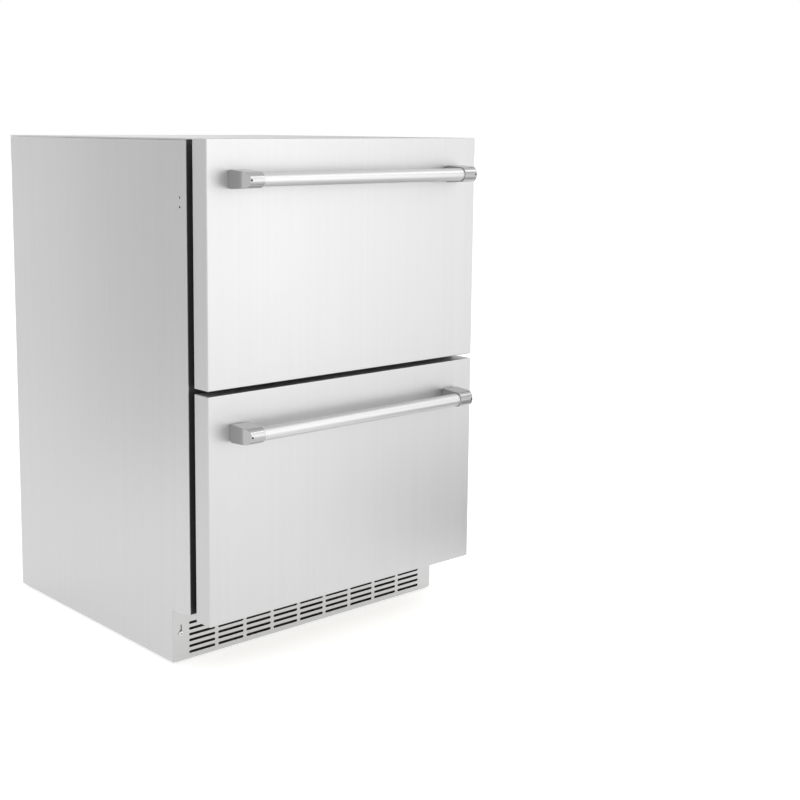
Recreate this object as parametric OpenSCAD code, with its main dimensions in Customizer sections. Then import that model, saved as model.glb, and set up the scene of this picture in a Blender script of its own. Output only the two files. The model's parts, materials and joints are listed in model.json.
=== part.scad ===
// Two-drawer under-counter refrigerator with a sealed compressor cooling system.
// Millimetres. +X is to the right as seen from the front, the front faces -Y, and +Z is up.
// The origin is on the floor, under the middle of the whole appliance, handles included.

/* [Cabinet] */
// Width across the two side panels
cab_w = 597; // [590:1:610]
// Depth of the cabinet, from its front edge to its rear edge
cab_d = 577; // [570:1:600]
// Height of the cabinet above the bottom edges of its panels
cab_h = 870; // [866:1:880]
// Thickness of the sheet steel
sheet_t = 1.2; // [1:0.1:1.4]
// Gap between the panels' bottom edges and the floor
foot_gap = 4; // [4:1:6]
// Height of the top panel's rim
top_rim_h = 2.6; // [2:0.2:4]
// Distance from the cabinet's rear edge to the outer face of the back panel
back_recess = 3; // [3:0.5:5]

/* [Toe space] */
// Depth of the toe space behind the cabinet's front edge
toe_recess = 51; // [45:1:60]
// Height of the toe space over its level part
toe_h = 91; // [88:1:92]
// Height of the toe space at the cabinet's front edge
toe_front_h = 97; // [94:1:98]
// Length of the sloping part of the toe space's upper edge
toe_slope_l = 32; // [20:1:40]
// Length of one air slot in the toe grille
slot_l = 53.5; // [50:0.5:56]
// Height of one air slot in the toe grille
slot_h = 4.6; // [4:0.2:6]
// Distance between neighbouring slots along the grille
slot_pitch_x = 60; // [58:1:62]
// Distance between neighbouring rows of slots
slot_pitch_z = 10.2; // [9:0.2:11]

/* [Drawer fronts] */
// Width of each drawer front
front_w = 592; // [584:1:592]
// Thickness of each drawer front
front_t = 38; // [34:1:44]
// Gap between the cabinet and the drawer fronts, which the gaskets fill
front_gap = 13; // [12:1:15]
// Height of the upper drawer front
upper_front_h = 394.5; // [392:0.5:396]
// Height of the lower drawer front
lower_front_h = 377.5; // [375:0.5:379]
// Gap between the two drawer fronts
drawer_gap = 8.5; // [7:0.5:9]

/* [Handles] */
// Diameter of the handle bars
bar_d = 22; // [18:1:23]
// Distance from a drawer front's face to its bar's axis
bar_standoff = 38; // [34:1:46]
// Distance from a drawer front's top edge to its bar's axis
bar_drop = 63; // [50:1:80]
// Half of the clear length of bar between its two brackets
bracket_in = 221; // [190:1:230]
// Width of a bracket along the bar
bracket_w = 34; // [30:1:40]
// Height of a bracket where it meets the drawer front
bracket_h = 30; // [28:1:36]
// Outer diameter of the collar that holds the bar
collar_d = 26; // [25:1:29]

/* [Inside] */
// Width of both cold compartments
cavity_w = 516; // [510:1:518]
// Wall thickness of the moulded liners
liner_t = 1.5; // [1.2:0.1:2]
// Width of a telescopic slide when it is closed
slide_t = 13; // [13:0.5:14]
// Length of the telescopic slides
slide_l = 430; // [420:5:440]

/* [Hidden] */
$fn = 48;
eps = 0.01;

// Cabinet planes. The appliance is centred on the origin from handle collar to rear edge.
reach = front_gap + front_t + bar_standoff + collar_d / 2;
y_front = (reach - cab_d) / 2;
y_back = y_front + cab_d;
half_w = cab_w / 2;
inner_w = half_w - sheet_t;
z_top = foot_gap + cab_h;
side_top = z_top - top_rim_h - 0.4;
y_toe = y_front + toe_recess;
y_back_out = y_back - back_recess;
y_back_in = y_back_out - sheet_t;
tray_lip = 8;

// The pair of small holes near the top front of each side, for a joining bracket.
bracket_hole_r = 1.75;
bracket_hole_y = y_front + 18.5;
bracket_hole_z = foot_gap + 762;
bracket_hole_steps = [0, 15];

// The toe grille's two screws, and the rear sheets' screws.
grille_screw_r = 2;
grille_head_r = 4;
grille_head_h = 2;
grille_screw_x = half_w - 15;
grille_screw_z = foot_gap + 48;
back_head_r = 4.5;
back_head_h = 1.8;
back_screw_x = 286;

// Drawer fronts.
y_face = y_front - front_gap - front_t;
y_rear = y_front - front_gap;
upper_z0 = z_top - upper_front_h;
lower_z0 = upper_z0 - drawer_gap - lower_front_h;
gasket_inset = 9;
gasket_w = 16;
gasket_t = front_gap - 0.3;

// Cold compartments.
cavity_x = cavity_w / 2;
frame_t = 8;
control_h = 38;
upper_cav_z0 = upper_z0 + 26.5;
upper_cav_z1 = z_top - control_h - 24;
lower_cav_z0 = lower_z0 + 26.5;
lower_cav_z1 = lower_z0 + lower_front_h - 26;
cav_back = y_back - 47.5;
step_y = 76;
step_z = 274;
machine_y = step_y + 24;
machine_top = step_z - 22;
back_z0 = machine_top - 6;
foam_floor = foot_gap + toe_front_h - 2;
cover_y = cav_back - 66;
duct_x = 120;
duct_w = 80;

// Drawer bins and telescopic slides.
plug_d = 21.5;
bin_y0 = y_rear + plug_d;
bin_x = cavity_x - slide_t;
bin_t = 1.2;
bin_back = cover_y - 22;
upper_bin_z0 = upper_cav_z0 + 10;
upper_bin_z1 = upper_bin_z0 + 236;
lower_bin_z0 = lower_cav_z0 + 10;
lower_bin_z1 = lower_cav_z1 - 44;
lower_step_z = step_z + 9;
lower_step_y = step_y - 14;
rim_out = 8;
slide_y0 = y_front + frame_t + 3;
rail_h = 45;
mid_h = 35;
runner_h = 24;
upper_slide_z = upper_bin_z1 - 34;
lower_slide_z = lower_bin_z1 - 34;

// Handles.
bar_y = y_face - bar_standoff;
upper_bar_z = z_top - bar_drop;
lower_bar_z = lower_z0 + lower_front_h - bar_drop;
bracket_out = bracket_in + bracket_w;
collar_r = collar_d / 2;
collar_depth = 19;
bracket_bend = 35;
bracket_corner = 6;
bracket_tip = bracket_out - 5.5;
set_screw_x = bracket_out - 8;
set_screw_r = 2;
set_screw_l = 5;

// Where the flat of a bracket meets its collar: a tangent from the base's edge to the collar.
tangent_turn = atan2(bracket_h / 2, bar_standoff)
    + acos(collar_r / norm([bar_standoff, bracket_h / 2]));
tangent_y = bar_y + collar_r * cos(tangent_turn);
tangent_z = collar_r * sin(tangent_turn);

// Controls on the top rail of the front frame.
panel_w = 250;
panel_h = 30;
panel_t = 5;
panel_z = z_top - 4 - panel_h / 2 - 3;
button_r = 6;
button_flange_r = 7.2;
button_xs = [-100, -66, 66, 100];
lens_w = 64;
lens_h = 18;

// Machine compartment.
fan_x = -155;
fan_z = 116;
fan_r = 62;
fan_y = machine_y + 92;
fan_shaft_r = 2;
condenser_x0 = fan_x - 92;
condenser_x1 = fan_x + 92;
condenser_y0 = machine_y + 14;
condenser_y1 = machine_y + 52;
condenser_z0 = foot_gap + 8;
condenser_z1 = machine_top - 22;
comp_x = 125;
comp_y = 222;
comp_r = 72;
comp_plate_z = foot_gap + 22;
comp_can_z = comp_plate_z + 3;
comp_out_z = comp_can_z + 100;
comp_in_z = comp_can_z + 96;
comp_out_x = comp_x + 30;
comp_in_x = comp_x - 26;
evap_fan_r = 48;
evap_fan_z = upper_cav_z1 - 92;
foot_x = half_w - 36;
foot_front_y = y_toe + 34;
foot_rear_y = y_back - 40;
stem_r = 5;
fit = 0.05;
inlet_x = -215;
inlet_z = foot_gap + 56;

// ---------------------------------------------------------------- shared shapes

// A box given by its lowest and highest corners.
module block(lo, hi) {
    translate(lo) cube(hi - lo);
}

// A cylinder along +Y from y0 to y1.
module rod_y(x, z, y0, y1, r) {
    translate([x, y0, z]) rotate([-90, 0, 0]) cylinder(r = r, h = y1 - y0);
}

// A cylinder along +X from x0 to x1.
module rod_x(x0, x1, y, z, r) {
    translate([x0, y, z]) rotate([0, 90, 0]) cylinder(r = r, h = x1 - x0);
}

// A slot with round ends, l long along X and h high, cut through y0 to y1 and centred on x, z.
module slot_y(x, z, y0, y1, l, h) {
    block([x - l / 2 + h / 2, y0, z - h / 2], [x + l / 2 - h / 2, y1, z + h / 2]);
    for (side = [-1, 1]) rod_y(x + side * (l - h) / 2, z, y0, y1, h / 2);
}

// A flat plate standing in the XZ plane with four rounded corners.
module rounded_plate(x0, x1, z0, z1, y0, y1, r) {
    block([x0 + r, y0, z0], [x1 - r, y1, z1]);
    block([x0, y0, z0 + r], [x1, y1, z1 - r]);
    for (x = [x0 + r, x1 - r], z = [z0 + r, z1 - r]) rod_y(x, z, y0, y1, r);
}

// An outline of [y, z] points made into a slab from x0 to x1.
module profile_x(points, x0, x1) {
    translate([x0, 0, 0]) rotate([90, 0, 90]) linear_extrude(x1 - x0) polygon(points);
}

// An outline of [x, z] points made into a bar from y0 to y1.
module profile_y(points, y0, y1) {
    translate([0, y1, 0]) rotate([90, 0, 0]) linear_extrude(y1 - y0) polygon(points);
}

// A U-bend in the YZ plane that joins two tubes pitch apart, bulging towards +X or -X.
module u_bend(x, y, z, pitch, r, way) {
    translate([x, y, z]) rotate([90, 0, 0])
        rotate([0, 0, way > 0 ? -90 : 90]) rotate_extrude(angle = 180)
            translate([pitch / 2, 0]) circle(r = r, $fn = 24);
}

// ---------------------------------------------------------------- cabinet

// The side sheet's outline in [y, z], with the toe space cut out of its lower front corner.
function side_outline() = [
    [y_toe + sheet_t + 0.3, foot_gap],
    [y_toe + sheet_t + 0.3, foot_gap + toe_h],
    [y_front + toe_slope_l, foot_gap + toe_h],
    [y_front, foot_gap + toe_front_h],
    [y_front, side_top],
    [y_back, side_top],
    [y_back, foot_gap]
];

// A side sheet with the flange along its top edge that the top panel is fixed to.
module side_panel(side) {
    flange_w = 15;
    x_in = side > 0 ? inner_w : -half_w;
    flange = side > 0 ? [inner_w - flange_w, inner_w] : [-inner_w, -inner_w + flange_w];
    color("gainsboro") difference() {
        union() {
            profile_x(side_outline(), x_in, x_in + sheet_t);
            block([flange[0], y_front + 10, side_top - sheet_t], [flange[1], y_back - 8, side_top]);
        }
        for (dz = bracket_hole_steps)
            rod_x(x_in - 1, x_in + sheet_t + 1, bracket_hole_y, bracket_hole_z + dz, bracket_hole_r);
    }
}

module left_panel() { side_panel(-1); }

module right_panel() { side_panel(1); }

// The top sheet, with a thin rim folded down all round.
module top_panel() {
    color("gainsboro") difference() {
        block([-half_w, y_front, z_top - top_rim_h], [half_w, y_back, z_top]);
        block([-inner_w, y_front + sheet_t, z_top - top_rim_h - 1],
              [inner_w, y_back - sheet_t, z_top - sheet_t]);
    }
}

// The rear sheet, with a flange down each side and four stiffening beads.
module back_panel() {
    bead_w = 14;
    bead_h = 1.6;
    bead_margin = 60;
    flange_w = 14;
    color("silver") {
        block([-inner_w, y_back_in, back_z0], [inner_w, y_back_out, side_top - sheet_t - 0.4]);
        for (x = [-180, -60, 60, 180])
            bead(x, bead_w, bead_h, back_z0 + bead_margin, side_top - bead_margin);
        for (side = [-1, 1])
            block([side > 0 ? inner_w - sheet_t : -inner_w, y_back_in - flange_w, back_z0 + 4],
                  [side > 0 ? inner_w : -inner_w + sheet_t, y_back_in, side_top - 8]);
    }
}

// A vertical stiffening bead pressed out of the back panel.
module bead(x, w, h, z0, z1) {
    translate([x, y_back_out, z0]) linear_extrude(z1 - z0)
        polygon([[-w / 2, -eps], [-w / 4, h], [w / 4, h], [w / 2, -eps]]);
}

// The removable rear sheet of the machine compartment, with its vents and the inlet's opening.
module machine_cover() {
    vent_l = 62;
    vent_h = 5;
    vent_rows = 11;
    vent_pitch = 16;
    vent_rise = 42;
    inlet_w = 30;
    inlet_h = 22;
    z0 = foot_gap + tray_lip + 2;
    z1 = back_z0 - 1;
    color("silver") difference() {
        block([-inner_w + 0.4, y_back_in, z0], [inner_w - 0.4, y_back_out, z1]);
        for (x = [-110, -30, 50, 130, 210], row = [0 : vent_rows - 1])
            slot_y(x, z0 + vent_rise + row * vent_pitch, y_back_in - 1, y_back_out + 1, vent_l, vent_h);
        block([inlet_x - inlet_w / 2, y_back_in - 1, inlet_z - inlet_h / 2],
              [inlet_x + inlet_w / 2, y_back_out + 1, inlet_z + inlet_h / 2]);
    }
}

// The floor tray, with a threaded boss for each foot and an ear for each of the grille's screws.
module base_tray() {
    boss_r = 11;
    boss_h = 16;
    ear_w = 18;
    ear_top = grille_screw_z + 20;
    y0 = y_toe + sheet_t + 0.6;
    y1 = y_back_in - 0.4;
    color("darkgray") difference() {
        union() {
            difference() {
                block([-inner_w, y0, foot_gap], [inner_w, y1, foot_gap + tray_lip]);
                block([-inner_w + sheet_t, y0 + sheet_t, foot_gap + sheet_t],
                      [inner_w - sheet_t, y1 - sheet_t, foot_gap + tray_lip + 1]);
            }
            for (x = [-foot_x, foot_x], y = [foot_front_y, foot_rear_y])
                translate([x, y, foot_gap]) cylinder(r = boss_r, h = boss_h);
            for (x = [-grille_screw_x, grille_screw_x])
                block([x - ear_w / 2, y0, foot_gap], [x + ear_w / 2, y0 + sheet_t, ear_top]);
        }
        for (x = [-foot_x, foot_x], y = [foot_front_y, foot_rear_y])
            translate([x, y, foot_gap - 1]) cylinder(r = stem_r + fit, h = boss_h + 2);
        for (x = [-grille_screw_x, grille_screw_x])
            rod_y(x, grille_screw_z, y0 - 1, y0 + sheet_t + 1, grille_screw_r + fit);
    }
}

// The plastic frame round both openings, whose middle bar parts the two compartments.
module front_frame() {
    z0 = foot_gap + toe_front_h + 0.5;
    color("dimgray") difference() {
        block([-inner_w, y_front, z0], [inner_w, y_front + frame_t, z_top - top_rim_h - 2]);
        block([-cavity_x, y_front - 1, upper_cav_z0], [cavity_x, y_front + frame_t + 1, upper_cav_z1]);
        block([-cavity_x, y_front - 1, lower_cav_z0], [cavity_x, y_front + frame_t + 1, lower_cav_z1]);
    }
}

// The foamed wall between the sheets and the liners, with the machine space left out of it.
function foam_outline() = [
    [y_front + frame_t, foam_floor + 2.5],
    [y_front + frame_t, side_top - 4],
    [y_back_in, side_top - 4],
    [y_back_in, machine_top],
    [machine_y, machine_top],
    [machine_y, foam_floor - 4],
    [y_toe + 10, foam_floor - 4],
    [y_toe - 4, foam_floor + 2.5]
];

module insulation() {
    relief_r = 4;
    relief_l = 22;
    foam_x = inner_w - sheet_t - 0.2;
    color("khaki") difference() {
        profile_x(foam_outline(), -foam_x, foam_x);
        liner_solid("upper", liner_t, y_front);
        liner_solid("lower", liner_t, y_front);
        duct();
        for (side = [-1, 1], dz = bracket_hole_steps)
            rod_x(side > 0 ? foam_x - relief_l : -foam_x - 1, side > 0 ? foam_x + 1 : -foam_x + relief_l,
                  bracket_hole_y, bracket_hole_z + dz, relief_r);
    }
}

// The space of one cold compartment, grown by g on every side but the front.
module liner_solid(which, g, y0) {
    if (which == "upper") {
        block([-cavity_x - g, y0, upper_cav_z0 - g], [cavity_x + g, cav_back + g, upper_cav_z1 + g]);
    } else {
        block([-cavity_x - g, y0, lower_cav_z0 - g], [cavity_x + g, step_y + g, lower_cav_z1 + g]);
        block([-cavity_x - g, y0, step_z - g], [cavity_x + g, cav_back + g, lower_cav_z1 + g]);
    }
}

// The air duct between the two compartments, behind the fan cover.
module duct() {
    for (x = [-duct_x, duct_x])
        block([x - duct_w / 2, cav_back - 50, lower_cav_z1 - 10],
              [x + duct_w / 2, cav_back - 14, upper_cav_z0 + 10]);
}

module upper_liner() {
    color("whitesmoke") difference() {
        liner_solid("upper", liner_t, y_front + frame_t);
        liner_solid("upper", 0, y_front);
        duct();
    }
}

module lower_liner() {
    color("whitesmoke") difference() {
        liner_solid("lower", liner_t, y_front + frame_t);
        liner_solid("lower", 0, y_front);
        duct();
    }
}

// The slotted sheet across the toe space, with a keyhole for each of its two screws.
module toe_grille() {
    corner = 6;
    columns = 9;
    rows = 6;
    key_r = 2.3;
    key_l = 13;
    z0 = foot_gap;
    first_z = z0 + 11;
    color("gainsboro") difference() {
        union() {
            block([-half_w, y_toe, z0 + corner], [half_w, y_toe + sheet_t, z0 + toe_h - 0.5]);
            block([-half_w + corner, y_toe, z0], [half_w - corner, y_toe + sheet_t, z0 + toe_h - 0.5]);
            for (x = [-half_w + corner, half_w - corner])
                rod_y(x, z0 + corner, y_toe, y_toe + sheet_t, corner);
        }
        for (i = [0 : columns - 1], j = [0 : rows - 1])
            slot_y((i - (columns - 1) / 2) * slot_pitch_x, first_z + j * slot_pitch_z,
                   y_toe - 1, y_toe + sheet_t + 1, slot_l, slot_h);
        for (x = [-grille_screw_x, grille_screw_x]) {
            block([x - key_r, y_toe - 1, grille_screw_z],
                  [x + key_r, y_toe + sheet_t + 1, grille_screw_z + key_l]);
            for (dz = [0, key_l]) rod_y(x, grille_screw_z + dz, y_toe - 1, y_toe + sheet_t + 1, key_r);
        }
    }
}

// The head of one screw in the rear sheets.
module back_screw(x, z) {
    rod_y(x, z, y_back_out, y_back_out + back_head_h, back_head_r);
}

// The screws of the toe grille and of the rear sheets.
module cabinet_screws() {
    color("white") {
        for (x = [-grille_screw_x, grille_screw_x]) {
            rod_y(x, grille_screw_z, y_toe - grille_head_h, y_toe, grille_head_r);
            rod_y(x, grille_screw_z, y_toe, y_toe + 7, grille_screw_r);
        }
        for (x = [-back_screw_x, -95, 95, back_screw_x], z = [back_z0 + 12, side_top - 16])
            back_screw(x, z);
        for (x = [-back_screw_x, back_screw_x], rise = [160, 310, 460])
            back_screw(x, back_z0 + rise);
        for (x = [-back_screw_x, -190, back_screw_x], z = [foot_gap + 30, back_z0 - 12])
            back_screw(x, z);
    }
}

// ---------------------------------------------------------------- telescopic slides

// The three nested members of a slide, each an outline of [distance from the wall, height].
function rail_outline() = [
    [0, -rail_h / 2], [10, -rail_h / 2], [10, -18.7], [8.8, -18.7],
    [8.8, -rail_h / 2 + 1.2], [1.2, -rail_h / 2 + 1.2],
    [1.2, rail_h / 2 - 1.2], [8.8, rail_h / 2 - 1.2],
    [8.8, 18.7], [10, 18.7], [10, rail_h / 2], [0, rail_h / 2]
];

function mid_outline() = [
    [3, -mid_h / 2], [11.4, -mid_h / 2], [11.4, -14], [10.2, -14],
    [10.2, -mid_h / 2 + 1.2], [4.2, -mid_h / 2 + 1.2],
    [4.2, mid_h / 2 - 1.2], [10.2, mid_h / 2 - 1.2],
    [10.2, 14], [11.4, 14], [11.4, mid_h / 2], [3, mid_h / 2]
];

function runner_outline() = [
    [6, -runner_h / 2], [slide_t, -runner_h / 2], [slide_t, runner_h / 2], [6, runner_h / 2],
    [6, runner_h / 2 - 1.2], [slide_t - 1.2, runner_h / 2 - 1.2],
    [slide_t - 1.2, -runner_h / 2 + 1.2], [6, -runner_h / 2 + 1.2]
];

// Places an outline of [distance from the wall, height] on the left or right liner wall.
function on_wall(points, side, z) = [for (p = points) [side * (cavity_x - p[0]), z + p[1]]];

// A ball cage: the strip of balls' housing between two members.
module ball_cage(side, z, d0, d1, h0, h1, y0, y1) {
    for (up = [-1, 1])
        block([side > 0 ? cavity_x - d1 : -cavity_x + d0, y0, z + (up > 0 ? h0 : -h1)],
              [side > 0 ? cavity_x - d0 : -cavity_x + d1, y1, z + (up > 0 ? h1 : -h0)]);
}

// The outer member, fixed to the liner wall through three screw holes.
module rail(side, z) {
    hole_r = 2.4;
    hole_y = 35;
    color("lightgray") difference() {
        profile_y(on_wall(rail_outline(), side, z), slide_y0, slide_y0 + slide_l);
        for (dy = [hole_y, slide_l / 2, slide_l - hole_y])
            rod_x(side > 0 ? cavity_x - 2 : -cavity_x - 1, side > 0 ? cavity_x + 1 : -cavity_x + 2,
                  slide_y0 + dy, z, hole_r);
    }
}

// The middle member, with the two ball cages that run in the outer one.
module slide_middle(side, z) {
    cage_y0 = slide_y0 + slide_l - 190;
    cage_y1 = slide_y0 + slide_l - 20;
    color("lightgray") {
        profile_y(on_wall(mid_outline(), side, z), slide_y0 + 1, slide_y0 + slide_l - 3);
        ball_cage(side, z, 4, 8, mid_h / 2, rail_h / 2 - 1.6, cage_y0, cage_y1);
    }
}

// The inner member, fixed to the bin, with the two ball cages that run in the middle one.
module runner(side, z) {
    cage_y0 = slide_y0 + slide_l - 180;
    cage_y1 = slide_y0 + slide_l - 20;
    color("lightgray") {
        profile_y(on_wall(runner_outline(), side, z), bin_y0 + 2, slide_y0 + slide_l - 6);
        ball_cage(side, z, 6.4, 9.6, runner_h / 2, mid_h / 2 - 1.6, cage_y0, cage_y1);
    }
}

module upper_left_rail() { rail(-1, upper_slide_z); }

module upper_right_rail() { rail(1, upper_slide_z); }

module lower_left_rail() { rail(-1, lower_slide_z); }

module lower_right_rail() { rail(1, lower_slide_z); }

module upper_left_slide() { slide_middle(-1, upper_slide_z); }

module upper_right_slide() { slide_middle(1, upper_slide_z); }

module lower_left_slide() { slide_middle(-1, lower_slide_z); }

module lower_right_slide() { slide_middle(1, lower_slide_z); }

module upper_left_runner() { runner(-1, upper_slide_z); }

module upper_right_runner() { runner(1, upper_slide_z); }

module lower_left_runner() { runner(-1, lower_slide_z); }

module lower_right_runner() { runner(1, lower_slide_z); }

// ---------------------------------------------------------------- cooling system

// The welded can on its foot plate and rubber posts, with the terminal box and two pipe stubs.
module compressor() {
    can_h = 150;
    plate_half = [98, 58];
    post_xs = [-84, 84];
    post_ys = [-44, 44];
    post_r = 6.8;
    stub_y0 = comp_y - comp_r - 20;
    stub_y1 = comp_y - 40;
    color("black") {
        difference() {
            block([comp_x - plate_half[0], comp_y - plate_half[1], comp_plate_z],
                  [comp_x + plate_half[0], comp_y + plate_half[1], comp_can_z]);
            for (x = post_xs, y = post_ys)
                translate([comp_x + x, comp_y + y, comp_plate_z - 1]) cylinder(r = post_r + 0.2, h = 6);
        }
        translate([comp_x, comp_y, comp_can_z]) rotate_extrude($fn = 64) can_outline(can_h);
        for (x = post_xs, y = post_ys)
            translate([comp_x + x, comp_y + y, foot_gap + sheet_t]) cylinder(r = post_r, h = 26);
        block([comp_x - comp_r - 26, comp_y - 30, comp_can_z + 42],
              [comp_x - comp_r + 6, comp_y + 30, comp_can_z + 102]);
        rod_y(comp_out_x, comp_out_z, stub_y0, stub_y1, 4);
        rod_y(comp_in_x, comp_in_z, stub_y0, stub_y1, 3.2);
    }
}

// Half of the welded compressor can's section: a flat base, a weld flange and a domed top.
module can_outline(h) {
    dome = 26;
    polygon([
        [0, 0], [comp_r - 14, 0], [comp_r, 14], [comp_r, h * 0.55], [comp_r + 3, h * 0.55],
        [comp_r + 3, h * 0.55 + 6], [comp_r - 2, h * 0.55 + 6], [comp_r - 2, h - dome],
        for (a = [10 : 10 : 80]) [(comp_r - 2) * cos(a), h - dome + dome * sin(a)],
        [0, h]
    ]);
}

// A fin-and-tube coil: plate fins along X on a core, with the tubes' U-bends showing at both ends.
module fin_coil(x0, x1, y0, y1, z0, z1, fins, rows, tube_r) {
    pitch = (x1 - x0) / (fins - 1);
    row_h = (z1 - z0) / rows;
    stub = 8;
    y_mid = (y0 + y1) / 2;
    for (i = [0 : fins - 1])
        block([x0 + i * pitch - 0.5, y0, z0], [x0 + i * pitch + 0.5, y1, z1]);
    block([x0, y_mid - 5, z0 + 3], [x1, y_mid + 5, z1 - 3]);
    for (j = [0 : rows - 1], x = [x0 - stub, x1])
        rod_x(x, x + stub, y_mid, z0 + (j + 0.5) * row_h, tube_r);
    for (j = [0 : rows - 2])
        u_bend(j % 2 == 0 ? x1 + stub : x0 - stub, y_mid, z0 + (j + 1) * row_h, row_h, tube_r,
               j % 2 == 0 ? 1 : -1);
}

// The condenser, upright in front of the fan shroud.
module condenser() {
    fins = 24;
    rows = 6;
    tube_r = 4;
    color("silver")
        fin_coil(condenser_x0, condenser_x1, condenser_y0, condenser_y1, condenser_z0, condenser_z1,
                 fins, rows, tube_r);
}

// The plate and ring round the condenser fan, with the fan's motor, its shaft and its four arms.
module condenser_fan_shroud() {
    y0 = condenser_y1 + 4;
    y1 = y0 + 2;
    motor_y = fan_y + 22;
    motor_r = 22;
    motor_l = 30;
    color("dimgray") {
        difference() {
            union() {
                block([condenser_x0, y0, foot_gap + 6], [condenser_x1, y1, machine_top - 16]);
                rod_y(fan_x, fan_z, y1 - eps, y1 + 22, fan_r + 6);
            }
            rod_y(fan_x, fan_z, y0 - 1, y1 + 23, fan_r + 3);
        }
        for (a = [45 : 90 : 315])
            translate([fan_x, motor_y + 3, fan_z]) rotate([0, a, 0]) translate([14, 0, -4])
                cube([fan_r - 4, 4, 8]);
        for (a = [45 : 90 : 315])
            translate([fan_x, y1, fan_z]) rotate([0, a, 0]) translate([fan_r + 3.5, 0, -4])
                cube([6, motor_y + 7 - y1, 8]);
        rod_y(fan_x, fan_z, motor_y, motor_y + motor_l, motor_r);
        rod_y(fan_x, fan_z, fan_y + 4, motor_y + eps, fan_shaft_r);
    }
}

// A fan rotor about an axis along Y: a hub with a blind bore from behind, and pitched blades.
module fan_rotor(x, z, y, r, blades, hub_r) {
    hub_l = 18;
    blade_t = 1.6;
    blade_w = r * 0.4;
    blade_pitch = 35;
    difference() {
        union() {
            rod_y(x, z, y, y + hub_l, hub_r);
            for (i = [0 : blades - 1])
                translate([x, y + hub_l / 2, z]) rotate([0, i * 360 / blades, 0])
                    translate([hub_r - 2, 0, 0]) rotate([blade_pitch, 0, 0])
                        translate([0, -blade_t / 2, -blade_w / 2]) cube([r - hub_r, blade_t, blade_w]);
        }
        rod_y(x, z, y + 3, y + hub_l + 1, fan_shaft_r + fit);
    }
}

module condenser_fan() {
    color("black") fan_rotor(fan_x, fan_z, fan_y - 6, fan_r, 5, 17);
}

// Discharge and liquid lines in the machine compartment, with the copper filter drier.
module refrigerant_lines() {
    suction_r = 4;
    liquid_r = 3;
    drier_r = 9;
    y_stub = comp_y - comp_r - 20.5;
    y_suction = comp_y - comp_r - 34;
    y_liquid = comp_y - comp_r - 28;
    x_drop = condenser_x1 + 44;
    color("peru") {
        rod_y(comp_out_x, comp_out_z, y_suction, y_stub, suction_r + 0.6);
        line_z(comp_out_x, y_suction, comp_out_z, machine_top - 8, suction_r);
        translate([comp_out_x, y_suction, comp_out_z]) sphere(r = suction_r + 0.6);
        rod_x(x_drop, comp_in_x, y_liquid, comp_in_z, liquid_r);
        rod_y(comp_in_x, comp_in_z, y_liquid, y_stub, liquid_r + 0.7);
        line_z(x_drop, y_liquid, foot_gap + 34, comp_in_z, liquid_r);
        line_z(x_drop, y_liquid, foot_gap + 50, foot_gap + 104, drier_r);
        translate([comp_in_x, y_liquid, comp_in_z]) sphere(r = liquid_r + 0.7);
        translate([x_drop, y_liquid, comp_in_z]) sphere(r = liquid_r + 0.2);
    }
}

// A vertical tube from z0 to z1.
module line_z(x, y, z0, z1, r) {
    translate([x, y, z0]) cylinder(r = r, h = z1 - z0);
}

// The evaporator, across the back of the upper compartment.
module evaporator() {
    half_l = 165;
    fins = 26;
    rows = 4;
    tube_r = 4;
    color("silver")
        fin_coil(-half_l, half_l, cav_back - 36, cav_back - 6, upper_cav_z0 + 34, upper_cav_z0 + 150,
                 fins, rows, tube_r);
}

// One window of a round fan guard: part of a ring between two radii, cut along +Y from y0.
module guard_window(x, z, y0, depth, r0, r1, start, sweep) {
    translate([x, y0, z]) rotate([-90, 0, 0]) rotate([0, 0, start])
        rotate_extrude(angle = sweep) translate([r0, 0]) square([r1 - r0, depth]);
}

// The moulded cover over the evaporator: a fan guard, return slots and the fan's motor.
module evaporator_cover() {
    z0 = upper_cav_z0 + 1;
    z1 = upper_cav_z1 - 1;
    x1 = cavity_x - 1;
    t = 2;
    spokes = 8;
    bridge_x = 62;
    bridge_w = 8;
    motor_r = 19;
    color("whitesmoke") {
        difference() {
            union() {
                block([-x1, cover_y, z0], [x1, cover_y + t, z1]);
                for (x = [-x1, x1 - t]) block([x, cover_y, z0], [x + t, cover_y + 12, z1]);
            }
            for (i = [0 : spokes - 1], ring = [[8, 17], [20, 32], [35, evap_fan_r]])
                guard_window(0, evap_fan_z, cover_y - 1, t + 2, ring[0], ring[1],
                             i * 360 / spokes + 3, 360 / spokes - 6);
            for (x = [-200 : 50 : 200], j = [0, 1])
                slot_y(x, z0 + 30 + j * 14, cover_y - 1, cover_y + t + 1, 36, 6);
        }
        // The motor, its shaft and the bridge that carries them.
        block([-bridge_x, cover_y + 31, evap_fan_z - 4], [bridge_x, cover_y + 37, evap_fan_z + 4]);
        for (x = [-bridge_x, bridge_x - bridge_w])
            block([x, cover_y + t / 2, evap_fan_z - 4], [x + bridge_w, cover_y + 34, evap_fan_z + 4]);
        rod_y(0, evap_fan_z, cover_y + 27, cover_y + 50, motor_r);
        rod_y(0, evap_fan_z, cover_y + 12, cover_y + 30, fan_shaft_r);
    }
}

module evaporator_fan() {
    color("whitesmoke") fan_rotor(0, evap_fan_z, cover_y + 6, evap_fan_r, 5, 14);
}

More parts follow.
